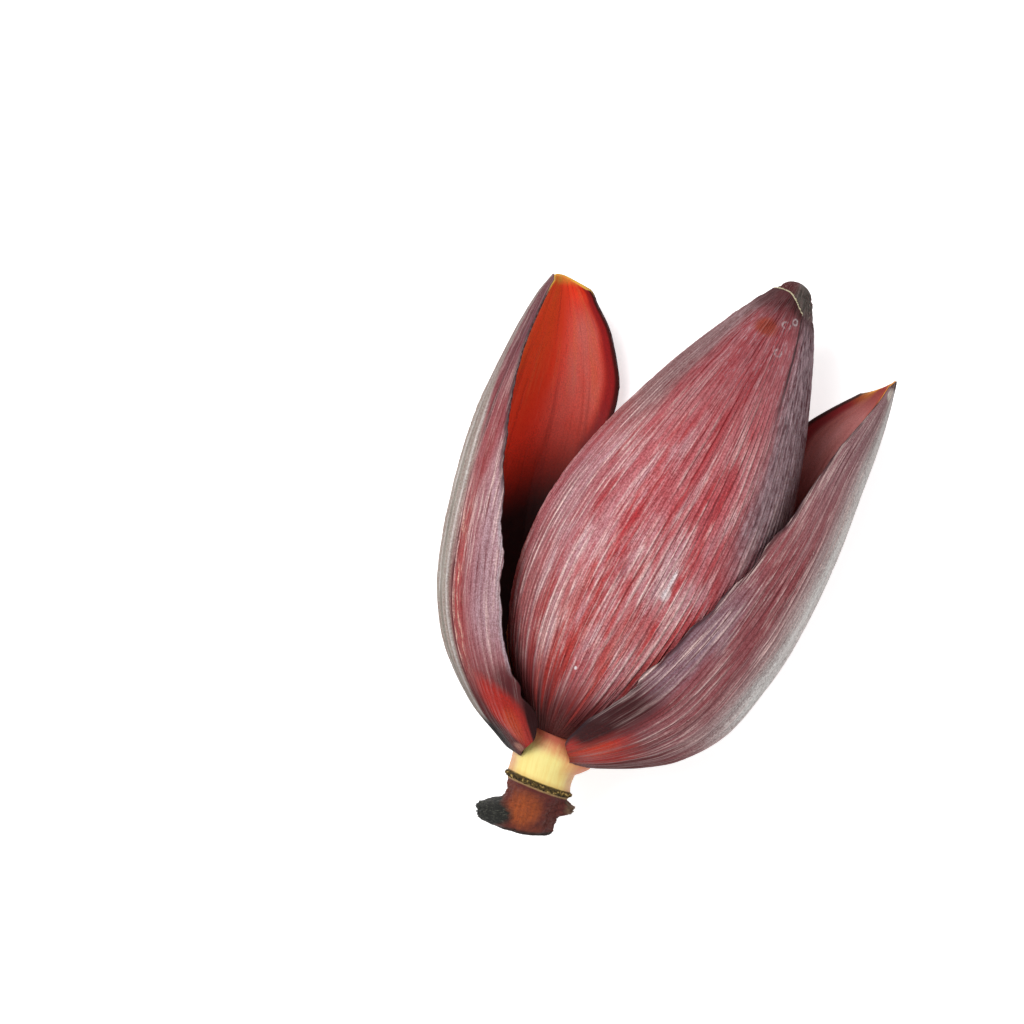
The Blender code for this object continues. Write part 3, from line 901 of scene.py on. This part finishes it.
def front_zones(make, colours):
    """The front bract: slate right side, partly painted shade; painted light down the left side; painted
    shadow by the step; dim hood and upper left edge, dark foot, small marks.
    """
    bearing, length, patch = make.bearing, make.along, make.patch
    waved = bearing + (patch - 0.5) * 20.0
    # The slate band on the right side is partly thick bloom and partly painted shade, where the bud turns
    # away from the light.
    band = waved.smooth(68.0, 47.0) * length.smooth(0.36, 0.58)
    # Painted shadow: a dark line along the step, in the gap where the next bract shows.
    step = (bearing - STEP_BEARING).absolute().smooth(3.0, 0.6) * length.smooth(0.70, 0.84)
    rim = make.edge.smooth(0.030, 0.014) * bearing.smooth(58.0, 63.0) * (0.45 + patch)
    under = make.edge.smooth(0.26, 0.07) * bearing.smooth(58.0, 63.0) * bearing.smooth(112.0, 92.0)
    left = waved.smooth(130.0, 150.0) * length.smooth(0.54, 0.70)
    # Painted light: the bud's left side, facing the key lamp, is tinted paler with bloom colour.
    glow = bearing.smooth(120.0, 150.0) * length.smooth(0.62, 0.50) * length.smooth(0.12, 0.25)
    hood = (length + (patch - 0.5) * 0.06).smooth(0.885, 0.955)
    foot = length.smooth(0.20, 0.06)
    fire = length.smooth(0.30, 0.14) * length.smooth(0.035, 0.09) * make.streak.smooth(0.50, 0.36)
    blotch = make.spot(107.0, 0.893, 20.0, 0.022) * (0.5 + patch)
    low = length.smooth(0.46, 0.22) * length.smooth(0.06, 0.14) * patch.smooth(0.60, 0.40)
    high = length.smooth(0.66, 0.88)
    flecks = make.noise(make.around(1.6, 61.0), 24.0, 3.0, 0.7)
    light_flecks = (band + high * 0.7) * flecks.smooth(0.52, 0.62)
    dark_flecks = (band + high * 0.6) * flecks.smooth(0.48, 0.38)
    coats = [(glow * 0.4, colours.bloom), (length.smooth(0.56, 0.86) * 0.4, tone(116, 70, 76)),
             (low * 0.45, tone(180, 72, 60)), (left * 0.75, tone(128, 112, 112)),
             (band * 0.9, colours.slate), (light_flecks * 0.7, tone(176, 146, 152)),
             (dark_flecks * 0.6, tone(84, 40, 48)), (hood * 0.85, tone(74, 42, 44)),
             (blotch * 1.1, tone(146, 62, 48)), (step * 0.9, tone(50, 34, 38)),
             (under * 0.85, tone(66, 36, 36)), (rim * 1.5, tone(226, 216, 182)),
             (foot * 0.95, colours.maroon), (fire * 0.75, tone(170, 56, 50))]
    for spot in SMALL_RINGS:
        ring = make.spot(*spot) - make.spot(*spot, size=0.66) * 1.3
        coats.append((ring * patch.smooth(0.38, 0.56) * 1.2, tone(190, 178, 180)))
    for spot in RUBBED_SPOTS:
        coats.append((make.spot(*spot) * (0.35 + patch), tone(222, 214, 216)))
    quiet = (high * 0.6 + hood * 0.2 + foot * 0.8 + band * 0.45).clamp()
    return coats, quiet, hood * 0.2, 0.25 + 0.75 * length.smooth(0.80, 0.50) * length.smooth(0.05, 0.22)


def bud_zones(make, colours):
    """The closed bud: slate bloom all over, dark and greenish at the tip."""
    tip = make.along.smooth(0.90, 0.97)
    coats = [(0.75, colours.slate), (tip * 1.1, tone(84, 82, 76)),
             (make.bearing.smooth(78.0, 110.0) * tip * 0.95, tone(84, 32, 36)),
             (make.along.smooth(0.04, 0.03), tone(196, 84, 70))]
    return coats, tip * 0.3, tip * 0.2, 0.5


def left_zones(make, colours):
    """The left bract: pale strip outside the crease, partly chalky bloom and partly painted reflection;
    painted shade in the crease; bloom by the margin; glossy heel.
    """
    bearing, length, streak = make.bearing, make.along, make.streak
    waved = bearing + (streak - 0.5) * 5.0

    def line_at(place, width, core):
        return (waved - place).absolute().smooth(width, core)

    upper = length.smooth(0.62, 0.90)
    # The pale strip is partly chalky bloom and partly a painted reflection of the white surroundings,
    # seen at a grazing angle.
    strip = (waved - upper * 7.0).smooth(146.0, 149.5) * waved.smooth(222.0, 186.0)
    strip = strip * (1.0 - 0.25 * make.cloud)
    hollow = strip * line_at(157.5, 5.0, 1.0) * length.smooth(0.8, 0.6)
    border = strip * (line_at(150.5, 1.6, 0.2) + line_at(165.0, 1.8, 0.2))
    near = waved.smooth(136.0, 121.0) * length.smooth(0.15, 0.30) * length.smooth(0.76, 0.54)
    wrinkled = waved.smooth(133.0, 139.0) * waved.smooth(147.0, 144.0)
    wrinkled = wrinkled * length.smooth(0.10, 0.2) * length.smooth(0.62, 0.45)
    frayed = make.noise(make.around(0.5, 77.0), 34.0, 3.0, 0.7).smooth(0.54, 0.62) * wrinkled
    foot = length.smooth(0.24, 0.09)
    across = (bearing - 112.0 - (length - 0.07) * 190.0) * 0.046
    down = (length - 0.08) * 9.0
    heel = (across * across + down * down).smooth(1.0, 0.15)
    ember = make.spot(114.0, 0.065, 10.0, 0.05)
    bruise = make.spot(106.0, 0.165, 16.0, 0.05) * (0.4 + make.patch)
    tan = make.spot(122.0, 0.014, 9.0, 0.014)
    # A near-black band across the outer part of the bract's base, next to the stalk.
    dark_band = bearing.smooth(130.0, 142.0) * length.smooth(0.085, 0.045)
    edge = make.edge.smooth(0.022, 0.004)
    margin = bearing.smooth(103.0, 97.0) * length.smooth(0.24, 0.16)
    coats = [(0.4 + make.cloud * 0.35, tone(128, 66, 68)), (near * 0.85, tone(178, 146, 154)),
             (strip * 0.9, tone(160, 160, 150)), (hollow * 0.6, tone(120, 122, 112)),
             (border * 0.7, colours.chalk_and_sheen), (wrinkled * 0.6, tone(160, 58, 54)),
             (frayed * 0.7, tone(222, 178, 160)),
             (upper * (1.0 - strip * 0.6) * 0.85, tone(104, 70, 78)),
             # Painted shade: a dark line down the crease.
             (line_at(146.0, 2.2, 0.3) * 0.8, tone(70, 42, 46)),
             (foot * (1.0 - strip * 0.8) * 0.95, colours.maroon), (bruise * 0.8, tone(64, 24, 28)),
             (heel * (0.45 + streak.smooth(0.34, 0.58) * 0.65), colours.heel),
             (ember * 0.4, tone(196, 84, 42)), (tan * 0.7, tone(190, 134, 116)),
             (dark_band * 1.1, tone(40, 38, 38)),
             (edge * length.smooth(0.16, 0.22) * length.smooth(0.60, 0.45) * 0.8, tone(172, 160, 166)),
             (edge * length.smooth(0.45, 0.60) * 0.9, tone(62, 50, 54)),
             (margin * 1.2, tone(44, 12, 14))]
    quiet = (strip * 0.75 + heel * 0.8 + foot * 0.6 + margin).clamp()
    worn = 0.2 + 0.8 * length.smooth(0.24, 0.42) * length.smooth(0.78, 0.56)
    return coats, quiet, heel * (1.0 - margin), worn


def right_zones(make, colours):
    """The right bract: pale outer turn, partly chalky bloom and partly painted reflection; bloom by the
    margin; glossy heel with dark borders.
    """
    bearing, length = make.bearing, make.along
    waved = bearing + (make.patch - 0.5) * 18.0
    # The pale outer turn is partly chalky bloom and partly a painted reflection of the white surroundings
    # at the grazing silhouette.
    turn = waved.smooth(56.0, 20.0) * waved.smooth(-50.0, -10.0) * length.smooth(0.12, 0.34)
    near = waved.smooth(70.0, 82.0) * length.smooth(0.17, 0.26) * length.smooth(0.58, 0.40)
    foot = length.smooth(0.22, 0.06)
    heel = make.spot(68.0, 0.055, 34.0, 0.105)
    ember = make.spot(66.0, 0.06, 13.0, 0.06)
    # A dark, less glossy band beside the upper margin at the heel.
    dark_band = bearing.smooth(69.0, 80.0) * length.smooth(0.28, 0.19) * length.smooth(0.03, 0.07)
    chip = make.spot(48.0, 0.972, 16.0, 0.016)
    coats = [(0.5 + make.cloud * 0.4, tone(120, 74, 78)), (near * 0.7, tone(126, 108, 120)),
             (length.smooth(0.55, 0.88) * 0.5, tone(146, 128, 132)),
             (turn * 1.05, tone(216, 213, 210)), (foot * 0.85, colours.maroon),
             (heel * (0.45 + make.streak.smooth(0.34, 0.58) * 0.65), colours.heel),
             (ember * 0.4, tone(196, 70, 40)), (dark_band, tone(56, 26, 28)),
             (chip * 1.7, tone(214, 208, 198)), (length.smooth(0.975, 0.992) * 1.2, tone(52, 36, 30)),
             (make.edge.smooth(0.022, 0.004) * 0.85, tone(50, 34, 40))]
    quiet = (turn * 0.3 + heel * 0.7 + foot * 0.3 + dark_band * 0.5).clamp()
    worn = 0.55 + 0.45 * (length + bearing * 0.004 - 0.2).smooth(0.22, 0.5)
    return coats, quiet, heel * (1.0 - dark_band), worn


def inside_finish(name, base, blush, shade_and_rim, lip, seed, depth, warm):
    """Inner face of an opened bract: satin red, paler towards its far side with painted sheen, and
    painted shade deep down.

    depth gives the lengths where it is dark and where it is fully lit, and how far they slant.
    """
    make = Finish(name, Specular_IOR_Level=0.35)
    length, edge = make.along, make.edge
    veins = make.noise(make.around(0.1, seed), 50.0, 3.0, 0.6)
    broad = make.noise(make.around(0.3, seed + 1), 9.0, 3.0, 0.6)
    cloud = make.noise(make.around(2.0, seed + 2), 3.0, 3.0, 0.6)
    grain = make.grain(60.0, seed + 3, 2.0, 0.7)
    glow = length.smooth(0.55, 0.85) * edge.smooth(0.80, 0.45) * warm * (cloud * 2.2 - 0.35)
    # Painted sheen: a paler highlight laid into the colour towards the inner face's far side.
    sheen = edge.smooth(0.66, 0.80) * edge.smooth(0.96, 0.90) * (cloud * 2.0 - 0.1)
    sheen = sheen * length.smooth(0.56, 0.80) * length.smooth(0.98, 0.88)
    ember = length.smooth(0.90, 0.975) * edge.smooth(0.84, 0.94) * (0.2 + cloud * 1.4)
    level = length + (edge - 0.5) * depth[2]
    skin = make.layers(base, (glow.clamp() * 0.7, tone(222, 98, 34)), (sheen.clamp() * 0.85, blush),
                       (veins.smooth(0.56, 0.76) * 0.28, blush),
                       (broad.smooth(0.50, 0.32) * 0.30, tone(130, 30, 24)),
                       (broad.smooth(0.52, 0.72) * length.smooth(0.6, 0.8) * 0.40 * warm,
                        tone(228, 124, 76)))
    skin = make.scale(skin, (1.18 - edge.smooth(0.70, 0.92) * 0.36) * warm + (1.0 - warm) * 0.95)
    # Then a crimson band and the yellow lip, the dark far rim, a painted shadow line along the near
    # margin, and painted shade deep down towards the bud.
    skin = make.layers(skin, (edge.smooth(0.905, 0.955) * 0.85, tone(128, 24, 34)),
                       (ember * (1.0 - warm), lip), (edge.smooth(0.972, 0.992) * 0.9, shade_and_rim),
                       (edge.smooth(0.03, 0.006) * 0.9, shade_and_rim),
                       (length.smooth(0.978, 0.994) * (0.3 + cloud) * 0.8, lip),
                       (level.smooth(depth[1], depth[0]), shade_and_rim))
    skin = make.scale(skin, 0.84 + grain * 0.32)
    height = veins * 0.5 + broad * 0.6 + grain * 0.2
    return make.finish(skin, 0.36 + 0.2 * cloud, height, 0.3 * MM, 0.6)


def rim_finish(name, dark, light, seed, where):
    """The thin margin of a bract; where is the stretch of its length that turns light."""
    make = Finish(name, Specular_IOR_Level=0.1)
    speck = make.noise(make.around(4.4, seed), 40.0, 3.0, 0.7)
    grey = speck.smooth(0.4, 0.65) * make.along.smooth(0.3, 0.5) * 0.4
    skin = make.layers(dark, (grey, tone(140, 128, 132)), (make.along.smooth(*where) * 0.95, light))
    return make.finish(skin, 0.6 + 0.2 * speck, speck, 0.3 * MM, 0.6)


def stalk_finish(colours):
    """The stump: pink top, pale yellow neck, olive crust, then brown with an amber patch."""
    make = Finish("stalk_skin", Specular_IOR_Level=0.35)
    bearing, depth = make.bearing, make.along * STALK_LENGTH
    fibre = make.noise(make.around(0.35), 9.0, 3.0, 0.6)
    mottle = make.noise(make.around(3.0, 2.0), 4.0, 4.0, 0.65)
    grain = make.noise(make.around(3.0, 3.0), 26.0, 3.0, 0.75)
    waver = (make.noise(make.around(0.0, 4.0), 2.5, 2.0) - 0.5) * 3.0
    sideways = make.turn.cos()
    tilted = depth - sideways * RING_TILT[0] - make.turn.sin() * RING_TILT[1]
    level = depth + waver
    blush = level.smooth(6.0, -0.5) * (0.35 + fibre)
    sides = sideways.absolute().smooth(0.62, 1.0) * (0.5 + mottle)
    right = sideways.smooth(0.35, 0.85) * level.smooth(17.0, 4.0) * (0.5 + fibre * 0.7)
    ring = tilted.smooth(18.0, 18.8) * tilted.smooth(21.8, 21.0)
    under = tilted.smooth(21.0, 21.8)
    bare = make.spot(110.0, 0.74, 50.0, 0.25) * (fibre * 1.3 + mottle * 0.5 - 0.1)
    brown = make.layers(colours.stump, (mottle.smooth(0.35, 0.65) * 0.5, tone(140, 74, 50)),
                        (bare, colours.amber), (bearing.smooth(76.0, 44.0) * 0.5, tone(88, 40, 38)),
                        (tilted.smooth(24.6, 21.8) * 0.7, tone(96, 34, 36)),
                        (grain.smooth(0.5, 0.3) * 0.6, tone(50, 26, 24)),
                        (depth.smooth(38.4, 39.8) * 0.85, colours.charcoal))
    for spot, dark, light in (((176.0, 0.84, 52.0, 0.19), colours.charcoal, tone(104, 104, 92)),
                              ((2.0, 0.68, 26.0, 0.10), tone(110, 82, 62), tone(150, 122, 92))):
        burnt = make.mix(grain.smooth(0.5, 0.7) * 0.7, dark, light)
        brown = make.mix(make.spot(*spot) * (0.8 + mottle) * 1.6, brown, burnt)
    skin = make.layers(colours.neck, (fibre.smooth(0.35, 0.75) * 0.45, tone(232, 190, 96)),
                       (blush.clamp() * 0.85, tone(222, 126, 92)),
                       (level.smooth(0.5, -3.5) * 0.75, tone(186, 64, 56)),
                       (sides * 0.7, tone(196, 112, 92)), (right.clamp() * 0.8, tone(212, 118, 82)),
                       (tilted.smooth(15.5, 18.5) * 0.45, tone(206, 150, 66)),
                       (ring * (0.7 + grain * 0.6), colours.crust),
                       (ring * grain.smooth(0.55, 0.35), colours.charcoal), (under, brown),
                       (tilted.smooth(20.9, 21.3) * tilted.smooth(22.2, 21.5) * 0.8,
                        tone(196, 158, 108)))
    height = fibre * 0.3 + mottle * (0.3 + under) + grain * (0.12 + under * 1.1 + ring * 2.0)
    roughness = (0.40 + under * 0.2 + ring * 0.35 + 0.12 * grain).clamp()
    return make.finish(skin, roughness, height, 0.9 * MM, 0.9)


def crumb_finish(colours):
    """Corky crumbs on the ring scar."""
    make = Finish("ring_crust", Specular_IOR_Level=0.25)
    speck = make.noise(make.place(), 520.0, 2.0, 0.6)
    skin = make.layers(tone(52, 44, 28), (speck.smooth(0.38, 0.6), colours.crust),
                       (speck.smooth(0.55, 0.64) * 0.85, tone(196, 166, 102)))
    return make.finish(skin, 0.8 + 0.1 * speck, speck, 0.2 * MM)


def flower_finish(colours):
    """Waxy cream flowers, yellower at their tips."""
    make = Finish("flower_skin", Specular_IOR_Level=0.45, Subsurface_Weight=0.12,
                  Subsurface_Radius=(0.004, 0.003, 0.0015))
    place = make.place()
    split = make.node("ShaderNodeSeparateXYZ", None, {0: place})
    height = (make.value(split, 1) - (BASE.y + 12 * MM)) / (30 * MM)
    fleck = make.noise(place, 420.0, 3.0, 0.6)
    skin = make.layers(colours.cream, (height.clamp().smooth(0.5, 1.0) * 0.8, tone(214, 156, 66)),
                       (fleck.smooth(0.6, 0.75) * 0.35, tone(176, 104, 74)))
    return make.finish(skin, 0.42 + 0.2 * fleck, fleck, 0.25 * MM)


# ---------------------------------------------------------------------------------------------
# Operators


class BLOSSOM_OT_bud(bpy.types.Operator):
    """Make the closed bud, with the edges of its wrapped bracts"""
    bl_idname = "blossom.bud"
    bl_label = "Closed bud"

    def execute(self, context):
        sizes, colours = context.scene.blossom_sizes, context.scene.blossom_colours
        rows, columns = 170, 330
        share = spread(np.arange(rows + 1), rows)[:, None] * (BUD_END - 0.0003)
        angle = np.arange(columns)[None, :] * 360 / columns
        past = (angle - along(EDGE_LINE, 1, share)) % 360
        sunk = 1.0 * MM * np.exp(-past / 34) * np.clip((360 - past) / 3, 0, 1) * body(share)
        tip = np.clip((share - 0.90) / 0.06, 0, 1)
        beyond = np.clip((share - along(HOOD, 1, np.minimum(angle, 220.0))) / 0.007, 0, 1)
        bare = np.clip((BUD_END - share) / 0.02, 0, 1)
        pucker = 0.3 * wander(angle * 0.12, 3) + 0.25 * wander(angle * 0.3 + share * 150, 14)
        flush = 0.2 + 0.65 * np.clip((angle - STEP_BEARING) / 6, 0, 1)
        reach = core_radius(share) - sunk * (1 - tip) + MM * bare * (flush * beyond + tip * pucker)
        points = about_axis(angle, share, reach).reshape(-1, 3)
        shares = point_rows(angle, share, 0.5).reshape(-1, 3)
        faces = grid_faces(rows, columns, closed=True)
        found, _ = ribbed("bud", points, shares, faces, 11, sizes.front_ribs, sizes)
        found[:, 2] = np.maximum(found[:, 2], 0.0)
        mesh = closed_mesh("closed_bud", rows, columns, found, shares)
        finish = bract_finish("bud_skin", colours, 11.0, float(sizes.front_ribs), bud_zones)
        add_piece("closed_bud", mesh, [finish], ["bud"])
        return {"FINISHED"}


def make_bract(context, name, node, sheet, ribs, seed, zones, near, inside, light_from, light):
    """One bract from its outer face; near says how far a point is from the thin margin, up to 1.

    inside gives its inner face's colour, the colour of its painted sheen, the depth of its painted shade
    and its warmth.
    """
    sizes, colours = context.scene.blossom_sizes, context.scene.blossom_colours
    points, shares = sheet
    rows, columns = len(points) - 1, len(points[0]) - 1
    points, shares = points.reshape(-1, 3), shares.reshape(-1, 3)
    thick = np.clip(near(shares[:, 2], shares[:, 1]), 0, 1) ** 0.7
    wall = sizes.margin + (sizes.wall - sizes.margin) * thick
    mesh, kinds = shell(name, rows, columns, points, shares, wall, seed, ribs, sizes)
    base, blush, depth, warm = inside
    materials = [bract_finish(name + "_skin", colours, float(seed), float(ribs), zones),
                 inside_finish(name + "_inside", base, blush, colours.shade_and_rim, light, seed + 1.0, depth,
                               warm),
                 rim_finish(name + "_rim", tone(58, 36, 38), light, seed + 2.0, light_from)]
    piece = add_piece(name, mesh, materials, [node])
    piece.data.polygons.foreach_set("material_index", kinds)
    piece.data.update()


def hood_near(edge, length):
    """The front bract thins towards its hood's rim only."""
    return (1 - length) / 0.16 - 0.12


def margin_near(edge, length):
    """An opened bract thins towards both margins and its tip."""
    return np.minimum(np.minimum(edge, 1 - edge) / 0.07, (1 - length) / 0.05)


class BLOSSOM_OT_bracts(bpy.types.Operator):
    """Make the bract that wraps the bud's front and the two that have opened to the sides"""
    bl_idname = "blossom.bracts"
    bl_label = "Bracts"

    def execute(self, context):
        sizes, colours = context.scene.blossom_sizes, context.scene.blossom_colours
        front = front_sheet(110, 396)
        left = [grid[:, ::-1] for grid in opened_sheet(
            124, 330, LEFT_CHORD, LEFT_STATIONS, (LEFT_START, LEFT_STOP), left_margins, left_relief)]
        right = opened_sheet(124, 330, RIGHT_CHORD, RIGHT_STATIONS, (RIGHT_START, RIGHT_STOP),
                             right_margins, right_relief)
        make_bract(context, "front_bract", "bract_front", front, sizes.front_ribs, 3, front_zones,
                   hood_near, (colours.maroon, colours.bloom, (0.0, 0.1, 0.0), 0.3), (0.93, 0.96),
                   tone(220, 212, 176))
        make_bract(context, "left_bract", "bract_left", left, sizes.side_ribs, 21, left_zones,
                   margin_near, (colours.inside, colours.blush, (0.37, 0.64, -0.28), 1.0),
                   (0.955, 0.985), colours.lip)
        make_bract(context, "right_bract", "bract_right", right, sizes.side_ribs, 33, right_zones,
                   margin_near, (tone(156, 62, 54), tone(196, 132, 130), (0.50, 0.76, -0.1), 0.3),
                   (0.93, 0.965), tone(214, 138, 44))
        return {"FINISHED"}


class BLOSSOM_OT_stalk(bpy.types.Operator):
    """Make the stump with its neck, corky ring and scars"""
    bl_idname = "blossom.stalk"
    bl_label = "Stalk"

    def execute(self, context):
        colours = context.scene.blossom_colours
        rows, columns = 150, 180
        down = np.linspace(STALK_TOP, STALK_LENGTH, rows + 1)[:, None]
        angle = np.arange(columns)[None, :] * 360 / columns
        bearing = np.radians(angle)
        slant = RING_TILT[0] * np.cos(bearing) + RING_TILT[1] * np.sin(bearing)
        tilted = down - slant * hump(down, 20, 8, 4)
        reach = along(STALK_PROFILE, 1, tilted)
        scarred = 0
        for place, length, middle, width, height in STALK_SCARS:
            turn = turned(angle, middle)
            reach = reach + height * hump(down, place, length, 4) * hump(turn, 0, width, 3)
            scarred = scarred + hump(down, place, length + 2) * hump(turn, 0, width + 14)
        place, length, middle, width, height = SHOULDER
        shoulder = height * hump(down, place, length) * hump(turned(angle, middle), 0, width)
        reach = reach + shoulder * np.clip((down + 2) / 3, 0, 1)
        coarse = np.clip((tilted - 21) / 3, 0, 1)
        crusty = hump(tilted, RING_DEPTH, 1.3)
        rough, crust = (
            np.array([[noise.fractal(Vector((math.cos(b), math.sin(b), d * 0.12)) * scale, *kind)
                       for b in bearing[0]] for d in down[:, 0]])
            for scale, kind in ((2.4, (0.9, 2.1, 5)), (10, (0.8, 2.0, 3))))
        reach = reach + (0.12 + 0.85 * coarse) * rough
        reach = reach + (1.3 * crusty + 0.3 * coarse + 1.3 * scarred) * crust
        below = np.maximum(down, 0.01)
        drift = STALK_DRIFT * below ** STALK_CURVE
        lean = STALK_CURVE * drift / below * np.minimum(below / LEVEL_DEPTH, 1.0) ** 2
        size = np.hypot(1, lean)
        slide = drift - 1.3 * np.clip((down - 22) / 18, 0, 1)
        points = np.stack([BASE.x + (slide + reach * np.cos(bearing) / size) * MM,
                           BASE.y + (-down + reach * np.cos(bearing) * lean / size) * MM,
                           BASE.z + reach * np.sin(bearing) * MM], axis=-1).reshape(-1, 3)
        shares = point_rows(angle, down / STALK_LENGTH, 0.5).reshape(-1, 3)
        mesh = closed_mesh("stump", rows, columns, points, shares)
        mesh.flip_normals()
        add_piece("stump", mesh, [stalk_finish(colours)], ["stalk"])

        picked = (np.abs(tilted - RING_DEPTH) < RING_HALF)[:rows].ravel()
        ring = plain_mesh("ring", points, grid_faces(rows, columns, closed=True)[picked])
        finish = crumb_finish(colours)
        crumbs = through_tree("ring", ring, "Crust", {"Seed": 5, "Material": finish})
        add_piece("ring_crust", crumbs, [finish], [])
        return {"FINISHED"}


def room_outside(bearing, distance, chord, stations):
    """How far out from the bud's axis one can go before meeting an opened bract's inner face."""
    root, heading, length = chord
    turn = math.radians(heading)
    forward = Vector((math.sin(turn), math.cos(turn), 0))
    sideways = Vector((math.cos(turn), -math.sin(turn), 0))
    reach = float(bud_radius(distance / BUD_LENGTH))
    for _ in range(160):
        point = Vector((reach * math.cos(bearing), distance, reach * math.sin(bearing))) - root
        share = min(max(point.dot(forward) / length, 0.0), 1.0)
        radius, shift, lift = (along(stations, i, share) * MM for i in range(1, 4))
        if math.hypot(point.dot(sideways) - shift, point.z - lift) > radius - FLOWER_ROOM:
            break
        reach += 0.5 * MM
    return reach


class BLOSSOM_OT_flowers(bpy.types.Operator):
    """Make the hands of male flowers in the axils of the opened bracts"""
    bl_idname = "blossom.flowers"
    bl_label = "Flowers"

    def execute(self, context):
        sizes, colours = context.scene.blossom_sizes, context.scene.blossom_colours
        finish = flower_finish(colours)
        for name, node, span, chord, stations in (
                ("flowers_left", "florets_left", (206, 258), LEFT_CHORD, LEFT_STATIONS),
                ("flowers_right", "florets_right", (24, -70), RIGHT_CHORD, RIGHT_STATIONS)):
            curve = bpy.data.curves.new(name, "CURVE")
            curve.dimensions = "3D"
            for number in range(sizes.flowers):
                across = (number + 0.5) / sizes.flowers
                bearing = math.radians(span[0] + (span[1] - span[0]) * across)
                reach = FLOWER_LENGTH + 4 * math.sin(number * 2.1)
                spline = curve.splines.new("POLY")
                spline.points.add(FLOWER_POINTS - 1)
                for index, point in enumerate(spline.points):
                    share = index / (FLOWER_POINTS - 1)
                    distance = (FLOWER_ROOT + reach * share) * MM
                    near = float(bud_radius(distance / BUD_LENGTH)) + FLOWER_GAP
                    far = room_outside(bearing, distance, chord, stations)
                    middle = near + min((far - near) * 0.5, (2.6 + 2 * share) * MM)
                    point.co = (BASE.x + middle * math.cos(bearing), BASE.y + distance,
                                BASE.z + middle * math.sin(bearing), 1.0)
            mesh = through_tree(name, curve, "Flowers", {"Material": finish})
            add_piece(name, mesh, [finish], [node])
        return {"FINISHED"}


class BLOSSOM_OT_stage(bpy.types.Operator):
    """Make the pale floor, the soft lights and the camera above the blossom"""
    bl_idname = "blossom.stage"
    bl_label = "Stage"

    def execute(self, context):
        scene = context.scene
        self.make_floor(scene)
        self.make_lights(scene)
        self.make_camera(scene)
        scene.view_settings.view_transform = "Standard"
        return {"FINISHED"}

    def make_floor(self, scene):
        """A wide pale floor just under the blossom."""
        corners = np.array([(-1, -1, 0), (1, -1, 0), (1, 1, 0), (-1, 1, 0)]) * FLOOR_HALF
        mesh = plain_mesh("floor", corners - (0, 0, FLOOR_DROP), [[0, 1, 2, 3]])
        paper = bpy.data.materials.new("floor_white")
        paper.use_nodes = True
        shader = paper.node_tree.nodes["Principled BSDF"]
        for key, value in (("Base Color", (0.93, 0.93, 0.93, 1)), ("Roughness", 0.9),
                           ("Specular IOR Level", 0.1), ("Emission Color", (1, 1, 1, 1)),
                           ("Emission Strength", FLOOR_GLOW)):
            shader.inputs[key].default_value = value
        mesh.materials.append(paper)
        floor = bpy.data.objects.new("floor", mesh)
        scene.collection.objects.link(floor)

    def make_lights(self, scene):
        """White surroundings and two large soft lamps that face the blossom."""
        world = bpy.data.worlds.new("studio")
        world.use_nodes = True
        sky = world.node_tree.nodes["Background"]
        sky.inputs["Color"].default_value = (1, 1, 1, 1)
        sky.inputs["Strength"].default_value = SKY_LIGHT
        scene.world = world
        for name, place, size, power in LAMPS:
            light = bpy.data.lights.new(name, "AREA")
            light.size = size
            light.energy = power
            lamp = bpy.data.objects.new(name, light)
            lamp.location = place
            lamp.rotation_euler = (Vector(place) - BASE).to_track_quat("Z", "Y").to_euler()
            scene.collection.objects.link(lamp)

    def make_camera(self, scene):
        """A camera almost straight above, turned so that the bud leans to the right."""
        tilt, roll = math.radians(CAMERA_TILT), math.radians(CAMERA_ROLL)
        aside = Vector((1, 0, 0))
        towards = Vector((0, math.sin(tilt), math.cos(tilt)))
        level = Vector((0, math.cos(tilt), -math.sin(tilt)))
        target = BASE + aside * VIEW_CENTRE[0] + level * VIEW_CENTRE[1]
        up = level * math.cos(roll) - aside * math.sin(roll)
        lens = bpy.data.cameras.new("camera")
        lens.sensor_width = SENSOR
        lens.lens = SENSOR * CAMERA_DISTANCE / VIEW_WIDTH
        camera = bpy.data.objects.new("camera", lens)
        turn = Matrix((up.cross(towards), up, towards)).transposed().to_4x4()
        turn.translation = target + towards * CAMERA_DISTANCE
        camera.matrix_world = turn
        scene.collection.objects.link(camera)
        scene.camera = camera


class BLOSSOM_PT_panel(bpy.types.Panel):
    """Lists the pieces of the blossom"""
    bl_idname = "BLOSSOM_PT_panel"
    bl_label = "Banana Blossom"
    bl_space_type = "VIEW_3D"
    bl_region_type = "UI"
    bl_category = "Blossom"

    def draw(self, context):
        for operator in PIECES:
            self.layout.operator(operator.bl_idname)
        for group in (context.scene.blossom_sizes, context.scene.blossom_colours):
            box = self.layout.box()
            for key in group.__annotations__:
                box.prop(group, key)


PIECES = (BLOSSOM_OT_stalk, BLOSSOM_OT_bud, BLOSSOM_OT_bracts, BLOSSOM_OT_flowers, BLOSSOM_OT_stage)
CLASSES = (BlossomSizes, BlossomColours, *PIECES, BLOSSOM_PT_panel)


def register():
    for kind in CLASSES:
        bpy.utils.register_class(kind)
    bpy.types.Scene.blossom_sizes = bpy.props.PointerProperty(type=BlossomSizes)
    bpy.types.Scene.blossom_colours = bpy.props.PointerProperty(type=BlossomColours)


def unregister():
    del bpy.types.Scene.blossom_colours
    del bpy.types.Scene.blossom_sizes
    for kind in reversed(CLASSES):
        bpy.utils.unregister_class(kind)


def main():
    """Register, build the node trees and make every piece."""
    register()
    rib_tree()
    flower_tree()
    crust_tree()
    bpy.ops.blossom.stalk()
    bpy.ops.blossom.bud()
    bpy.ops.blossom.bracts()
    bpy.ops.blossom.flowers()
    bpy.ops.blossom.stage()


if __name__ == "__main__":
    main()
